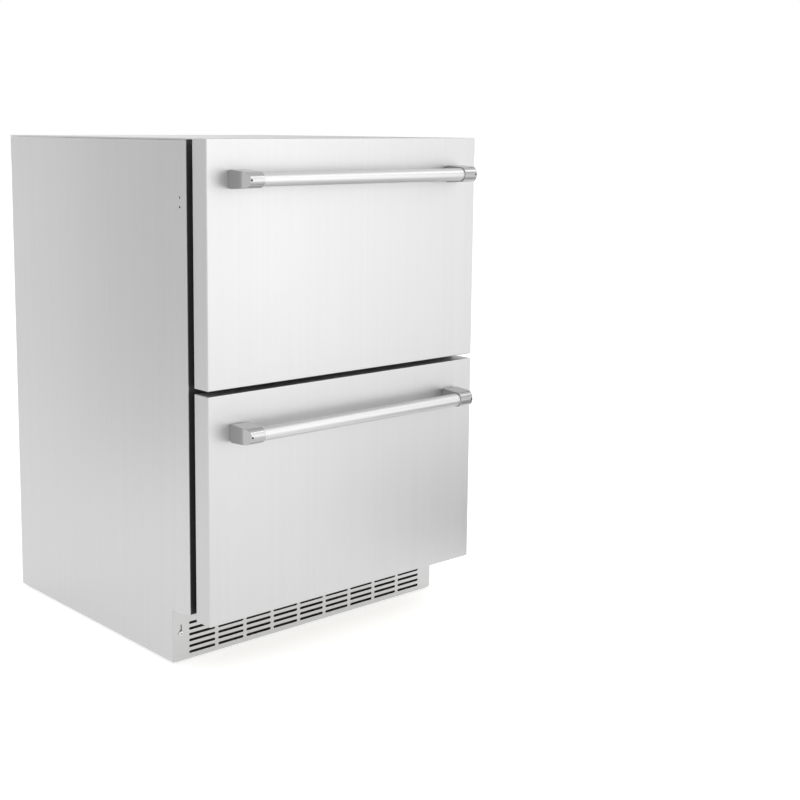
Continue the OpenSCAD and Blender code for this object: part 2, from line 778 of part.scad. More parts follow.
// The appliance inlet: a flanged housing with three flat pins in its well.
module power_inlet() {
    y1 = y_back_out + 2;
    color("black") {
        difference() {
            union() {
                rounded_plate(inlet_x - 24, inlet_x + 24, inlet_z - 15, inlet_z + 15, y_back_out, y1, 4);
                block([inlet_x - 14.6, y_back_out - 24, inlet_z - 10.6],
                      [inlet_x + 14.6, y_back_out, inlet_z + 10.6]);
            }
            block([inlet_x - 12.2, y_back_out - 17, inlet_z - 8], [inlet_x + 12.2, y1 + 1, inlet_z + 8]);
        }
        for (pin = [[-7, -2], [7, -2], [0, 2]])
            block([inlet_x + pin[0] - 1, y_back_out - 17.5, inlet_z + pin[1] - 2],
                  [inlet_x + pin[0] + 1, y_back_out - 1, inlet_z + pin[1] + 2]);
    }
}

// A lamp under the ceiling of each compartment: a base and a narrower lens.
module interior_lights() {
    base_half = 150;
    lens_half = 140;
    color("white") for (z = [upper_cav_z1, lower_cav_z1]) {
        block([-base_half, y_front + 24, z - 4], [base_half, y_front + 40, z]);
        block([-lens_half, y_front + 27, z - 7], [lens_half, y_front + 37, z - 4]);
    }
}

// ---------------------------------------------------------------- controls

// The control's bezel, with a hole for each button and a recess for the lens.
module control_housing() {
    color("black") difference() {
        rounded_plate(-panel_w / 2, panel_w / 2, panel_z - panel_h / 2, panel_z + panel_h / 2,
                      y_front - panel_t, y_front, 5);
        for (x = button_xs) {
            rod_y(x, panel_z, y_front - panel_t - 1, y_front + 1, button_r + fit);
            rod_y(x, panel_z, y_front - 3.6, y_front + 1, button_flange_r + 0.4);
        }
        block([-lens_w / 2, y_front - panel_t - 1, panel_z - lens_h / 2],
              [lens_w / 2, y_front - 2.5, panel_z + lens_h / 2]);
    }
}

// The window of the display, set just below the bezel's face.
module display_lens() {
    gap = 0.2;
    color("midnightblue")
        block([-lens_w / 2 + gap, y_front - panel_t + 0.2, panel_z - lens_h / 2 + gap],
              [lens_w / 2 - gap, y_front - 2.5, panel_z + lens_h / 2 - gap]);
}

// A round button with the flange that keeps it behind the housing's face.
module button(x) {
    color("lightgray") {
        rod_y(x, panel_z, y_front - panel_t - 1.5, y_front - 2.2, button_r);
        rod_y(x, panel_z, y_front - 3.2, y_front - 2.2, button_flange_r);
    }
}

module power_button() { button(button_xs[0]); }

module light_button() { button(button_xs[1]); }

module warmer_button() { button(button_xs[2]); }

module cooler_button() { button(button_xs[3]); }

// ---------------------------------------------------------------- levelling feet

// A disc that bears on the floor, and the stem that screws into the base tray.
module foot(x, y) {
    disc_h = foot_gap - 0.5;
    disc_r = 17;
    rim_h = 1.6;
    stem_l = 44;
    color("dimgray") translate([x, y, 0]) {
        cylinder(r = disc_r, h = rim_h);
        translate([0, 0, rim_h]) cylinder(r1 = disc_r, r2 = disc_r - 3, h = disc_h - rim_h, $fn = 64);
        translate([0, 0, disc_h - 0.1]) cylinder(r = stem_r, h = stem_l);
    }
}

module front_left_foot() { foot(-foot_x, foot_front_y); }

module front_right_foot() { foot(foot_x, foot_front_y); }

module rear_left_foot() { foot(-foot_x, foot_rear_y); }

module rear_right_foot() { foot(foot_x, foot_rear_y); }

// ---------------------------------------------------------------- drawers

// The stainless pan that wraps the front, with a narrow return along its back edges.
module front_skin(z0, h) {
    x = front_w / 2;
    lip = 9;
    color("gainsboro") difference() {
        block([-x, y_face, z0], [x, y_rear, z0 + h]);
        block([-x + sheet_t, y_face + sheet_t, z0 + sheet_t],
              [x - sheet_t, y_rear - sheet_t, z0 + h - sheet_t]);
        block([-x + lip, y_face + 10, z0 + lip], [x - lip, y_rear + 1, z0 + h - lip]);
    }
}

// The foam that fills the pan.
module front_core(z0, h) {
    x = front_w / 2 - sheet_t;
    color("khaki")
        block([-x, y_face + sheet_t, z0 + sheet_t], [x, y_rear - sheet_t - 3, z0 + h - sheet_t]);
}

// The moulded inner panel: a plate behind the pan's opening, and a raised plug that fills the opening.
module inner_panel(z0, h, cav0, cav1) {
    x = front_w / 2 - gasket_inset;
    clear = 9;
    t = 2.4;
    px = cavity_x - clear;
    color("whitesmoke") {
        block([-x, y_rear - sheet_t - 3, z0 + gasket_inset], [x, y_rear, z0 + h - gasket_inset]);
        difference() {
            plug(px, cav0 + clear, cav1 - clear, 0);
            plug(px, cav0 + clear, cav1 - clear, t);
        }
    }
}

// The plug's body, shrunk inwards by t: straight sides with a flat face towards the bin.
module plug(px, z0, z1, t) {
    block([-px + t, y_rear - eps, z0 + t], [px - t, y_rear + plug_d - t, z1 - t]);
}

// The magnetic gasket: a body with a narrower sealing face, run round the front's back face.
module gasket(z0, z1) {
    x1 = front_w / 2 - gasket_inset;
    x0 = x1 - gasket_w;
    inset = 2.5;
    face_t = 3;
    color("darkslategray") {
        difference() {
            block([-x1, y_rear, z0], [x1, y_rear + gasket_t - face_t, z1]);
            block([-x0, y_rear - 1, z0 + gasket_w], [x0, y_rear + gasket_t, z1 - gasket_w]);
        }
        difference() {
            block([-x1 + inset, y_rear + gasket_t - face_t - eps, z0 + inset],
                  [x1 - inset, y_rear + gasket_t, z1 - inset]);
            block([-x0 - inset, y_rear, z0 + gasket_w - inset],
                  [x0 + inset, y_rear + gasket_t + 1, z1 - gasket_w + inset]);
        }
    }
}

// A folded rim of a bin: a flat lip turned outwards, with a hem turned down along its edge.
module bin_rim(z) {
    x = bin_x + rim_out;
    color("silver") difference() {
        block([-x, bin_y0, z - 5], [x, bin_back + rim_out, z]);
        block([-x + bin_t, bin_y0 + eps, z - 6], [x - bin_t, bin_back + rim_out - bin_t, z - bin_t]);
        block([-bin_x + bin_t, bin_y0 + bin_t, z - 7], [bin_x - bin_t, bin_back - bin_t, z + 1]);
    }
}

module upper_bin() {
    color("silver") union() {
        difference() {
            block([-bin_x, bin_y0, upper_bin_z0], [bin_x, bin_back, upper_bin_z1]);
            block([-bin_x + bin_t, bin_y0 + bin_t, upper_bin_z0 + bin_t],
                  [bin_x - bin_t, bin_back - bin_t, upper_bin_z1 + 1]);
        }
        bin_rim(upper_bin_z1);
    }
}

// The lower bin is deep in front, and shallow over the machine compartment behind.
// Its space is shrunk by g on every side and raised by g at the top.
module lower_bin_space(g) {
    x = bin_x - g;
    y0 = bin_y0 + g;
    z1 = lower_bin_z1 + g;
    block([-x, y0, lower_bin_z0 + g], [x, lower_step_y - g, z1]);
    block([-x, y0, lower_step_z + g], [x, bin_back - g, z1]);
}

module lower_bin() {
    color("silver") union() {
        difference() {
            lower_bin_space(0);
            lower_bin_space(bin_t);
        }
        bin_rim(lower_bin_z1);
    }
}

// The tube between two brackets, which ends just short of the bottoms of their bores.
module handle_bar(z) {
    x = bracket_in + collar_depth - 0.5;
    color("silver") rod_x(-x, x, bar_y, z, bar_d / 2);
}

// One end bracket: flat sides that run tangent into the collar, a chamfered outer end, the bore for
// the bar and the hole of the set screw.
module bracket(side, z) {
    base_r = bracket_corner;
    corner_z = bracket_h / 2;
    x0 = side > 0 ? bracket_in : -bracket_out;
    color("gray") difference() {
        intersection() {
            union() {
                profile_x([
                    [tangent_y, z - tangent_z],
                    for (a = [-90 : 15 : 0])
                        [y_face - base_r + base_r * cos(a), z - corner_z + base_r + base_r * sin(a)],
                    for (a = [0 : 15 : 90])
                        [y_face - base_r + base_r * cos(a), z + corner_z - base_r + base_r * sin(a)],
                    [tangent_y, z + tangent_z]
                ], x0, x0 + bracket_w);
                rod_x(x0, x0 + bracket_w, bar_y, z, collar_r);
            }
            translate([0, 0, z - bracket_h]) linear_extrude(2 * bracket_h) polygon([
                [side * bracket_in, y_face],
                [side * bracket_out, y_face],
                [side * bracket_out, y_face - bracket_bend],
                [side * bracket_tip, bar_y - collar_r],
                [side * bracket_in, bar_y - collar_r]
            ]);
        }
        rod_x(side > 0 ? bracket_in - 1 : -bracket_in - collar_depth,
              side > 0 ? bracket_in + collar_depth : -bracket_in + 1, bar_y, z, bar_d / 2 + fit);
        rod_y(side * set_screw_x, z, bar_y - collar_r - 1, bar_y - collar_r + set_screw_l, set_screw_r);
    }
}

module upper_front_skin() { front_skin(upper_z0, upper_front_h); }

module upper_front_core() { front_core(upper_z0, upper_front_h); }

module upper_inner_panel() { inner_panel(upper_z0, upper_front_h, upper_cav_z0, upper_cav_z1); }

module upper_gasket() { gasket(upper_z0 + gasket_inset, upper_cav_z1 + gasket_w + 2); }

module upper_handle_bar() { handle_bar(upper_bar_z); }

module upper_left_bracket() { bracket(-1, upper_bar_z); }

module upper_right_bracket() { bracket(1, upper_bar_z); }

module lower_front_skin() { front_skin(lower_z0, lower_front_h); }

module lower_front_core() { front_core(lower_z0, lower_front_h); }

module lower_inner_panel() { inner_panel(lower_z0, lower_front_h, lower_cav_z0, lower_cav_z1); }

module lower_gasket() { gasket(lower_z0 + gasket_inset, lower_z0 + lower_front_h - gasket_inset); }

module lower_handle_bar() { handle_bar(lower_bar_z); }

module lower_left_bracket() { bracket(-1, lower_bar_z); }

module lower_right_bracket() { bracket(1, lower_bar_z); }

// ---------------------------------------------------------------- what is drawn

left_panel();
right_panel();
top_panel();
back_panel();
machine_cover();
base_tray();
front_frame();
insulation();
upper_liner();
lower_liner();
toe_grille();
cabinet_screws();
upper_left_rail();
upper_right_rail();
lower_left_rail();
lower_right_rail();
compressor();
condenser();
condenser_fan_shroud();
refrigerant_lines();
evaporator();
evaporator_cover();
control_housing();
display_lens();
power_inlet();
interior_lights();
condenser_fan();
evaporator_fan();
power_button();
light_button();
warmer_button();
cooler_button();
front_left_foot();
front_right_foot();
rear_left_foot();
rear_right_foot();
upper_left_slide();
upper_right_slide();
lower_left_slide();
lower_right_slide();
upper_front_skin();
upper_front_core();
upper_inner_panel();
upper_gasket();
upper_bin();
upper_left_runner();
upper_right_runner();
upper_handle_bar();
upper_left_bracket();
upper_right_bracket();
lower_front_skin();
lower_front_core();
lower_inner_panel();
lower_gasket();
lower_bin();
lower_left_runner();
lower_right_runner();
lower_handle_bar();
lower_left_bracket();
lower_right_bracket();
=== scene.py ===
"""Looks of a two-drawer under-counter refrigerator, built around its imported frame.

Everything is in metres and in the frame's own axes: +X is to the right, the front faces -Y, +Z is up, and
the origin is on the floor under the middle of the appliance.
"""

import json
import logging
import math
from collections.abc import Iterable, Mapping, Sequence
from dataclasses import dataclass
from enum import Enum
from typing import Any

import bmesh
import bpy
from mathutils import Matrix, Vector

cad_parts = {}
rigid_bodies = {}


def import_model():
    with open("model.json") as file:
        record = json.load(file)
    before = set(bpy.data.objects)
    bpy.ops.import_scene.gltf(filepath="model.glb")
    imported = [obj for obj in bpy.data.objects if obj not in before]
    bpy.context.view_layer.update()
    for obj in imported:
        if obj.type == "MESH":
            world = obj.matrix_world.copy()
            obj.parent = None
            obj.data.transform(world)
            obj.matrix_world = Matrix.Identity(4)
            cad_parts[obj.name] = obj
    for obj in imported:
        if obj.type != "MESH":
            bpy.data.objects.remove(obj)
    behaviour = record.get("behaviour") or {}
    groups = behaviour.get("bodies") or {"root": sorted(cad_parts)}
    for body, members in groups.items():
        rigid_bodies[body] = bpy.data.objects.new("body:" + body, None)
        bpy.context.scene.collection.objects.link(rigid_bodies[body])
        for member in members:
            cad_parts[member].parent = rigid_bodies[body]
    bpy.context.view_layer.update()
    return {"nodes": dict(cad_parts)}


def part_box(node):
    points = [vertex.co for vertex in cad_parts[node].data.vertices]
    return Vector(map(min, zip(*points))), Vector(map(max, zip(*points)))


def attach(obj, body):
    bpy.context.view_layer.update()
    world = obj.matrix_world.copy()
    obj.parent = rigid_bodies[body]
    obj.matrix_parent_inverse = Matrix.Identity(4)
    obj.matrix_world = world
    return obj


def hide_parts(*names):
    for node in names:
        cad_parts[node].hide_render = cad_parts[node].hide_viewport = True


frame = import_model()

log = logging.getLogger("refrigerator")

MM = 0.001
MERGE_DISTANCE = 2e-6
FLAT_ANGLE = math.radians(0.4)
SHARP_ANGLE = math.radians(50)
BEVEL_ANGLE = math.radians(40)

Point2 = tuple[float, float]
Point3 = tuple[float, float, float]
Colour = tuple[float, float, float]


# ---------------------------------------------------------------- nodes


class Signal:
    """A node's output that takes part in Python arithmetic by adding Math nodes."""

    def __init__(self, graph: "Graph", socket: bpy.types.NodeSocket) -> None:
        """Wraps a socket of a graph.

        Args:
            graph: The graph that the socket belongs to.
            socket: The output to calculate with.
        """
        self.graph = graph
        self.socket = socket

    def _math(self, operation: str, first: "Signal | float", second: "Signal | float") -> "Signal":
        """Adds one Math node and returns its output."""
        made = self.graph.node("ShaderNodeMath", {"operation": operation}, {0: first, 1: second})
        return Signal(self.graph, made.outputs[0])

    def __add__(self, other: "Signal | float") -> "Signal":
        """Adds a number or a signal."""
        return self._math("ADD", self, other)

    def __radd__(self, other: float) -> "Signal":
        """Is added to a number."""
        return self._math("ADD", other, self)

    def __sub__(self, other: "Signal | float") -> "Signal":
        """Takes away a number or a signal."""
        return self._math("SUBTRACT", self, other)

    def __rsub__(self, other: float) -> "Signal":
        """Is taken away from a number."""
        return self._math("SUBTRACT", other, self)

    def __mul__(self, other: "Signal | float") -> "Signal":
        """Multiplies by a number or a signal."""
        return self._math("MULTIPLY", self, other)

    def __rmul__(self, other: float) -> "Signal":
        """Multiplies a number."""
        return self._math("MULTIPLY", other, self)


class Graph:
    """Adds nodes to one shader or geometry tree."""

    def __init__(self, tree: bpy.types.NodeTree) -> None:
        """Works on a tree.

        Args:
            tree: The node tree to add to.
        """
        self.tree = tree

    def node(
        self,
        kind: str,
        settings: Mapping[str, Any] | None = None,
        sockets: Mapping[str | int, Any] | None = None,
    ) -> bpy.types.Node:
        """Adds one node.

        Args:
            kind: The node's type.
            settings: Its properties, such as a Math node's operation, which are set first.
            sockets: Values or links for its inputs, by name or number.

        Returns:
            The new node.
        """
        made = self.tree.nodes.new(kind)
        for name, value in (settings or {}).items():
            setattr(made, name, value)
        for key, value in (sockets or {}).items():
            self.feed(made.inputs[key], value)
        return made

    def feed(self, socket: bpy.types.NodeSocket, value: Any) -> None:
        """Links an output to an input, or sets the input's own value.

        Args:
            socket: The input.
            value: A Signal, a node socket, or a plain value.
        """
        if isinstance(value, Signal):
            self.tree.links.new(value.socket, socket)
        elif isinstance(value, bpy.types.NodeSocket):
            self.tree.links.new(value, socket)
        else:
            socket.default_value = value

    def noise(self, stretch: Point3, detail: float = 2.0) -> Signal:
        """Noise on the object's own coordinates.

        Args:
            stretch: How many waves a metre holds along X, Y and Z.
            detail: How many finer layers lie on it.

        Returns:
            A value around a half.
        """
        place = self.node("ShaderNodeTexCoord").outputs["Object"]
        scaled = self.node("ShaderNodeMapping", None, {"Vector": place, "Scale": stretch})
        wave = self.node(
            "ShaderNodeTexNoise", None, {"Vector": scaled.outputs[0], "Scale": 1.0, "Detail": detail}
        )
        return Signal(self, wave.outputs[0])

    def cells(self, size: float) -> Signal:
        """Irregular cells on the object's own coordinates, each with one random value.

        Args:
            size: How wide a cell is.

        Returns:
            A value from 0 to 1 that is the same all over a cell.
        """
        place = self.node("ShaderNodeTexCoord").outputs["Object"]
        grid = self.node("ShaderNodeTexVoronoi", None, {"Vector": place, "Scale": 1 / size})
        split = self.node("ShaderNodeSeparateColor", None, {"Color": grid.outputs["Color"]})
        return Signal(self, split.outputs[0])

    def tone(self, factor: Signal, dark: Colour, light: Colour) -> bpy.types.NodeSocket:
        """Mixes two colours.

        Args:
            factor: 0 for the dark one, 1 for the light one.
            dark: The first colour.
            light: The second colour.

        Returns:
            The mixed colour's output.
        """
        mixed = self.node(
            "ShaderNodeMix", {"data_type": "RGBA"}, {0: factor, 6: (*dark, 1.0), 7: (*light, 1.0)}
        )
        return mixed.outputs[2]

    def relief(self, height: Signal, depth: float) -> bpy.types.NodeSocket:
        """Turns a height into a bumped normal.

        Args:
            height: The height, from 0 to 1.
            depth: How deep 1 is, in metres.

        Returns:
            The normal's output.
        """
        bump = self.node("ShaderNodeBump", None, {"Strength": 1.0, "Distance": depth, "Height": height})
        return bump.outputs[0]


# ---------------------------------------------------------------- finishes


def grey(value: float) -> Colour:
    """A neutral colour of one brightness."""
    return (value, value, value)


def scaled(colour: Colour, factor: float) -> Colour:
    """A colour made lighter or darker, and no brighter than white."""
    red, green, blue = (min(part * factor, 1.0) for part in colour)
    return (red, green, blue)


class Grain(Enum):
    """Which way a brushed finish runs."""

    SIDEWAYS = 0
    UPRIGHT = 2

    def stretch(self, across: float, along: float) -> Point3:
        """Waves in a metre along each axis, few of them along the grain.

        Args:
            across: How many across the grain.
            along: How many along it.

        Returns:
            The waves along X, Y and Z.
        """
        waves = [across, across, across]
        waves[self.value] = along
        return (waves[0], waves[1], waves[2])


@dataclass(frozen=True)
class Finish:
    """What every finish has: a name, the record's slot, a base colour and a roughness."""

    name: str
    slot: str
    colour: Colour
    roughness: float

    def material(self) -> bpy.types.Material:
        """The finish as a material, made the first time it is asked for.

        Returns:
            The material.
        """
        found = bpy.data.materials.get(self.name)
        if found is not None:
            return found
        made = bpy.data.materials.new(self.name)
        made.use_nodes = True
        shader = made.node_tree.nodes["Principled BSDF"]
        shader.inputs["Base Color"].default_value = (*self.colour, 1.0)
        shader.inputs["Roughness"].default_value = self.roughness
        self.paint(Graph(made.node_tree), shader.inputs)
        return made

    def paint(self, graph: Graph, shader: Any) -> None:
        """Links the finish's patterns to the shader's inputs.

        Args:
            graph: The material's graph.
            shader: The inputs of its Principled BSDF.
        """
        raise NotImplementedError


@dataclass(frozen=True)
class BrushedMetal(Finish):
    """Metal sanded one way: fine scratches, long soft streaks and faint clouds of wear."""

    grain: Grain = Grain.UPRIGHT
    streak_depth: float = 0.018
    scratch_depth: float = 4e-6
    scratch_waves: Point2 = (1600.0, 18.0)
    streak_waves: Point2 = (130.0, 1.6)
    cloud_waves: Point3 = (5.0, 5.0, 5.0)

    def paint(self, graph: Graph, shader: Any) -> None:
        """Scratches, streaks and clouds, in tone, roughness and relief.

        Args:
            graph: The material's graph.
            shader: The inputs of its Principled BSDF.
        """
        scratches = graph.noise(self.grain.stretch(*self.scratch_waves), 3.0)
        streaks = graph.noise(self.grain.stretch(*self.streak_waves), 4.0)
        clouds = graph.noise(self.cloud_waves, 3.0)
        shift = (streaks - 0.5) * 1.6 + (scratches - 0.5) * 1.4 + 0.5
        light = scaled(self.colour, 1 + self.streak_depth)
        dark = scaled(self.colour, 1 - self.streak_depth)
        graph.feed(shader["Base Color"], graph.tone(shift, dark, light))
        rough = (scratches - 0.5) * 0.12 + (streaks - 0.5) * 0.02 + (clouds - 0.5) * 0.04
        graph.feed(shader["Roughness"], self.roughness + rough)
        graph.feed(shader["Normal"], graph.relief(scratches, self.scratch_depth))
        shader["Metallic"].default_value = 1.0


@dataclass(frozen=True)
class ZincPlate(Finish):
    """Zinc-coated sheet with the faint crystals of hot dipping."""

    spangle: float = 0.007
    mark_depth: float = 1.5e-5

    def paint(self, graph: Graph, shader: Any) -> None:
        """Crystals in tone and roughness, under fine handling marks.

        Args:
            graph: The material's graph.
            shader: The inputs of its Principled BSDF.
        """
        crystals = graph.cells(self.spangle)
        marks = graph.noise((90.0, 90.0, 90.0), 5.0)
        shift = crystals * 0.7 + marks * 0.3
        dark, light = scaled(self.colour, 0.93), scaled(self.colour, 1.06)
        graph.feed(shader["Base Color"], graph.tone(shift, dark, light))
        graph.feed(shader["Roughness"], self.roughness + (crystals - 0.5) * 0.1 + (marks - 0.5) * 0.1)
        graph.feed(shader["Normal"], graph.relief(marks, self.mark_depth))
        shader["Metallic"].default_value = 1.0


@dataclass(frozen=True)
class MouldedPlastic(Finish):
    """Injection-moulded plastic with a fine spark-eroded texture."""

    texture: float = 0.0006
    depth: float = 1.2e-5
    shine: float = 0.0

    def paint(self, graph: Graph, shader: Any) -> None:
        """A fine even texture, and slow changes of tone and gloss.

        Args:
            graph: The material's graph.
            shader: The inputs of its Principled BSDF.
        """
        texture = graph.noise((1 / self.texture,) * 3, 2.0)
        flow = graph.noise((7.0, 7.0, 7.0), 3.0)
        shift = (flow - 0.5) * 1.2 + (texture - 0.5) * 0.5 + 0.5
        dark, light = scaled(self.colour, 0.95), scaled(self.colour, 1.05)
        graph.feed(shader["Base Color"], graph.tone(shift, dark, light))
        graph.feed(shader["Roughness"], self.roughness + (texture - 0.5) * 0.1 + (flow - 0.5) * 0.08)
        graph.feed(shader["Normal"], graph.relief(texture, self.depth))
        shader["Coat Weight"].default_value = self.shine


@dataclass(frozen=True)
class Foam(Finish):
    """Rigid cast foam: open little cells and uneven colour."""

    pore: float = 0.0016
    pore_depth: float = 1.5e-4

    def paint(self, graph: Graph, shader: Any) -> None:
        """Pores and blotches.

        Args:
            graph: The material's graph.
            shader: The inputs of its Principled BSDF.
        """
        pores = graph.cells(self.pore)
        blotches = graph.noise((18.0, 18.0, 18.0), 5.0)
        shift = blotches * 0.7 + pores * 0.3
        dark, light = scaled(self.colour, 0.8), scaled(self.colour, 1.1)
        graph.feed(shader["Base Color"], graph.tone(shift, dark, light))
        graph.feed(shader["Roughness"], self.roughness + (pores - 0.5) * 0.1)
        graph.feed(shader["Normal"], graph.relief(pores, self.pore_depth))


@dataclass(frozen=True)
class Enamel(Finish):
    """Sprayed paint with a slight orange peel under a clear gloss."""

    gloss: float = 0.5
    gloss_roughness: float = 0.15
    peel_depth: float = 3e-5

    def paint(self, graph: Graph, shader: Any) -> None:
        """Orange peel and dust in the gloss.

        Args:
            graph: The material's graph.
            shader: The inputs of its Principled BSDF.
        """
        peel = graph.noise((260.0, 260.0, 260.0), 2.0)
        dust = graph.noise((30.0, 30.0, 30.0), 5.0)
        graph.feed(shader["Base Color"], graph.tone(dust, self.colour, scaled(self.colour, 1.5)))
        graph.feed(shader["Roughness"], self.roughness + (dust - 0.5) * 0.2)
        graph.feed(shader["Normal"], graph.relief(peel, self.peel_depth))
        shader["Coat Weight"].default_value = self.gloss
        shader["Coat Roughness"].default_value = self.gloss_roughness


@dataclass(frozen=True)
class BareMetal(Finish):
    """Drawn or turned metal with a blotchy skin of oxide."""

    oxide: Colour = (0.3, 0.3, 0.3)
    drawing_depth: float = 8e-6

    def paint(self, graph: Graph, shader: Any) -> None:
        """Oxide in tone and roughness.

        Args:
            graph: The material's graph.
            shader: The inputs of its Principled BSDF.
        """
        blotches = graph.noise((55.0, 55.0, 55.0), 5.0)
        fine = graph.noise((900.0, 900.0, 900.0), 2.0)
        shift = (blotches - 0.5) * 2.0 + 0.4
        graph.feed(shader["Base Color"], graph.tone(shift, self.colour, self.oxide))
        graph.feed(shader["Roughness"], self.roughness + (blotches - 0.5) * 0.3 + (fine - 0.5) * 0.1)
        graph.feed(shader["Normal"], graph.relief(fine, self.drawing_depth))
        shader["Metallic"].default_value = 1.0


@dataclass(frozen=True)
class ClearGloss(Finish):
    """Smoked acrylic with a polished face and a trace of finger grease."""

    gloss_roughness: float = 0.03

    def paint(self, graph: Graph, shader: Any) -> None:
        """Grease, in the roughness and faintly in the tone.

        Args:
            graph: The material's graph.
            shader: The inputs of its Principled BSDF.
        """
        grease = graph.noise((40.0, 40.0, 40.0), 4.0)
        graph.feed(shader["Base Color"], graph.tone(grease, self.colour, scaled(self.colour, 1.6)))
        graph.feed(shader["Roughness"], self.roughness + (grease - 0.4) * 0.1)
        shader["Coat Weight"].default_value = 1.0
        shader["Coat Roughness"].default_value = self.gloss_roughness


@dataclass(frozen=True)
class Glow(Finish):
    """A translucent white part lit from inside."""

    power: float = 1.0

    def paint(self, graph: Graph, shader: Any) -> None:
        """A slightly uneven glow.

        Args:
            graph: The material's graph.
            shader: The inputs of its Principled BSDF.
        """
        haze = graph.noise((60.0, 60.0, 60.0), 3.0)
        lit = graph.tone(haze, scaled(self.colour, 0.9), self.colour)
        graph.feed(shader["Base Color"], lit)
        graph.feed(shader["Emission Color"], lit)
        shader["Emission Strength"].default_value = self.power


class Palette:
    """The finishes of this appliance."""

    SIDE_STEEL = BrushedMetal("brushed_side_sheet", "cabinet_steel", grey(0.6), 0.4)
    FRONT_STEEL = BrushedMetal("brushed_drawer_front", "front_steel", grey(0.585), 0.46)
    GRILLE_STEEL = BrushedMetal("brushed_toe_grille", "grille_steel", grey(0.56), 0.38, Grain.SIDEWAYS)
    BIN_STEEL = BrushedMetal("brushed_bin", "bin_steel", grey(0.58), 0.3, Grain.SIDEWAYS)
    HANDLE_STEEL = BrushedMetal("brushed_handle_tube", "handle_steel", grey(0.6), 0.42, Grain.SIDEWAYS)
    # The bracket's base colour is darker than the tube's steel: painted shade, standing in for the dark
    # reflection on its flat outer face.
    BRACKET_METAL = BrushedMetal("satin_bracket", "bracket_metal", grey(0.42), 0.24, Grain.SIDEWAYS)
    GALVANISED = ZincPlate("galvanised_sheet", "galvanised_steel", (0.5, 0.51, 0.52), 0.42)
    SLIDE_ZINC = ZincPlate("bright_zinc_slide", "slide_steel", (0.56, 0.57, 0.58), 0.3, 0.004)
    SCREW_STEEL = BareMetal("bright_screw", "screw_steel", grey(0.82), 0.2, grey(0.6))
    BALL_STEEL = BareMetal("polished_ball", "slide_steel", grey(0.8), 0.08, grey(0.7))
    FRAME_PLASTIC = MouldedPlastic("black_frame_plastic", "frame_plastic", grey(0.022), 0.5)
    LINER_PLASTIC = MouldedPlastic("white_liner_plastic", "liner_plastic", (0.8, 0.81, 0.82), 0.34)
    FAN_PLASTIC = MouldedPlastic("dark_fan_plastic", "fan_plastic", grey(0.05), 0.45)
    FILTER_NYLON = MouldedPlastic("black_filter_nylon", "fan_plastic", grey(0.008), 0.7)
    CONTROL_PLASTIC = MouldedPlastic("control_plastic", "control_plastic", (0.03, 0.03, 0.032), 0.38)
    BUTTON_PLASTIC = MouldedPlastic("button_plastic", "button_plastic", (0.5, 0.51, 0.52), 0.3, shine=0.3)
    INLET_PLASTIC = MouldedPlastic("inlet_plastic", "control_plastic", grey(0.02), 0.32)
    GASKET_RUBBER = MouldedPlastic("gasket_rubber", "gasket_rubber", grey(0.03), 0.62, 0.002)
    FOAM = Foam("cast_foam", "foam", (0.82, 0.72, 0.42), 0.85)
    BLACK_ENAMEL = Enamel("black_enamel", "compressor_paint", grey(0.018), 0.35)
    FOOT_ENAMEL = Enamel("foot_enamel", "foot_steel", grey(0.09), 0.4, 0.2)
    FIN_ALUMINIUM = BareMetal("fin_aluminium", "coil_aluminium", (0.72, 0.73, 0.75), 0.34, grey(0.5))
    COPPER = BareMetal("drawn_copper", "copper", (0.85, 0.48, 0.32), 0.28, (0.42, 0.2, 0.12))
    BRASS_PIN = BareMetal("plated_pin", "copper", (0.78, 0.7, 0.52), 0.22, (0.6, 0.5, 0.3))
    SMOKED_LENS = ClearGloss("smoked_lens", "display_glass", (0.008, 0.009, 0.012), 0.06)
    DIGIT_GLOW = Glow("digit_glow", "light_lens", (0.75, 0.9, 1.0), 0.3, power=2.2)
    LAMP_GLOW = Glow("lamp_glow", "light_lens", (0.95, 0.97, 1.0), 0.3, power=5.0)
    ICON_INK = MouldedPlastic("icon_ink", "button_plastic", grey(0.03), 0.4)


# ---------------------------------------------------------------- meshes


@dataclass(frozen=True)
class Box:
    """A box between its lowest and its highest corner."""

    lo: Vector
    hi: Vector

    @classmethod
    def of(cls, node: str) -> "Box":
        """The box of a node of the frame."""
        return cls(*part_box(node))

    @property
    def centre(self) -> Vector:
        """The box's middle."""
        return (self.lo + self.hi) / 2

    @property
    def size(self) -> Vector:
        """The box's length along each axis."""
        return self.hi - self.lo


def flat_loop(lo: Point2, hi: Point2, radius: float, steps: int) -> list[Point2]:
    """A rounded rectangle.

    Args:
        lo: Its lowest corner.
        hi: Its highest corner.
        radius: The corners' radius, above 0.
        steps: How many chords a corner has.

    Returns:
        Its points, counterclockwise.
    """
    corners = [
        (hi[0] - radius, lo[1] + radius, -90),
        (hi[0] - radius, hi[1] - radius, 0),
        (lo[0] + radius, hi[1] - radius, 90),
        (lo[0] + radius, lo[1] + radius, 180),
    ]
    points = []
    for x, y, start in corners:
        for step in range(steps + 1):
            angle = math.radians(start + 90 * step / steps)
            points.append((x + radius * math.cos(angle), y + radius * math.sin(angle)))
    return points


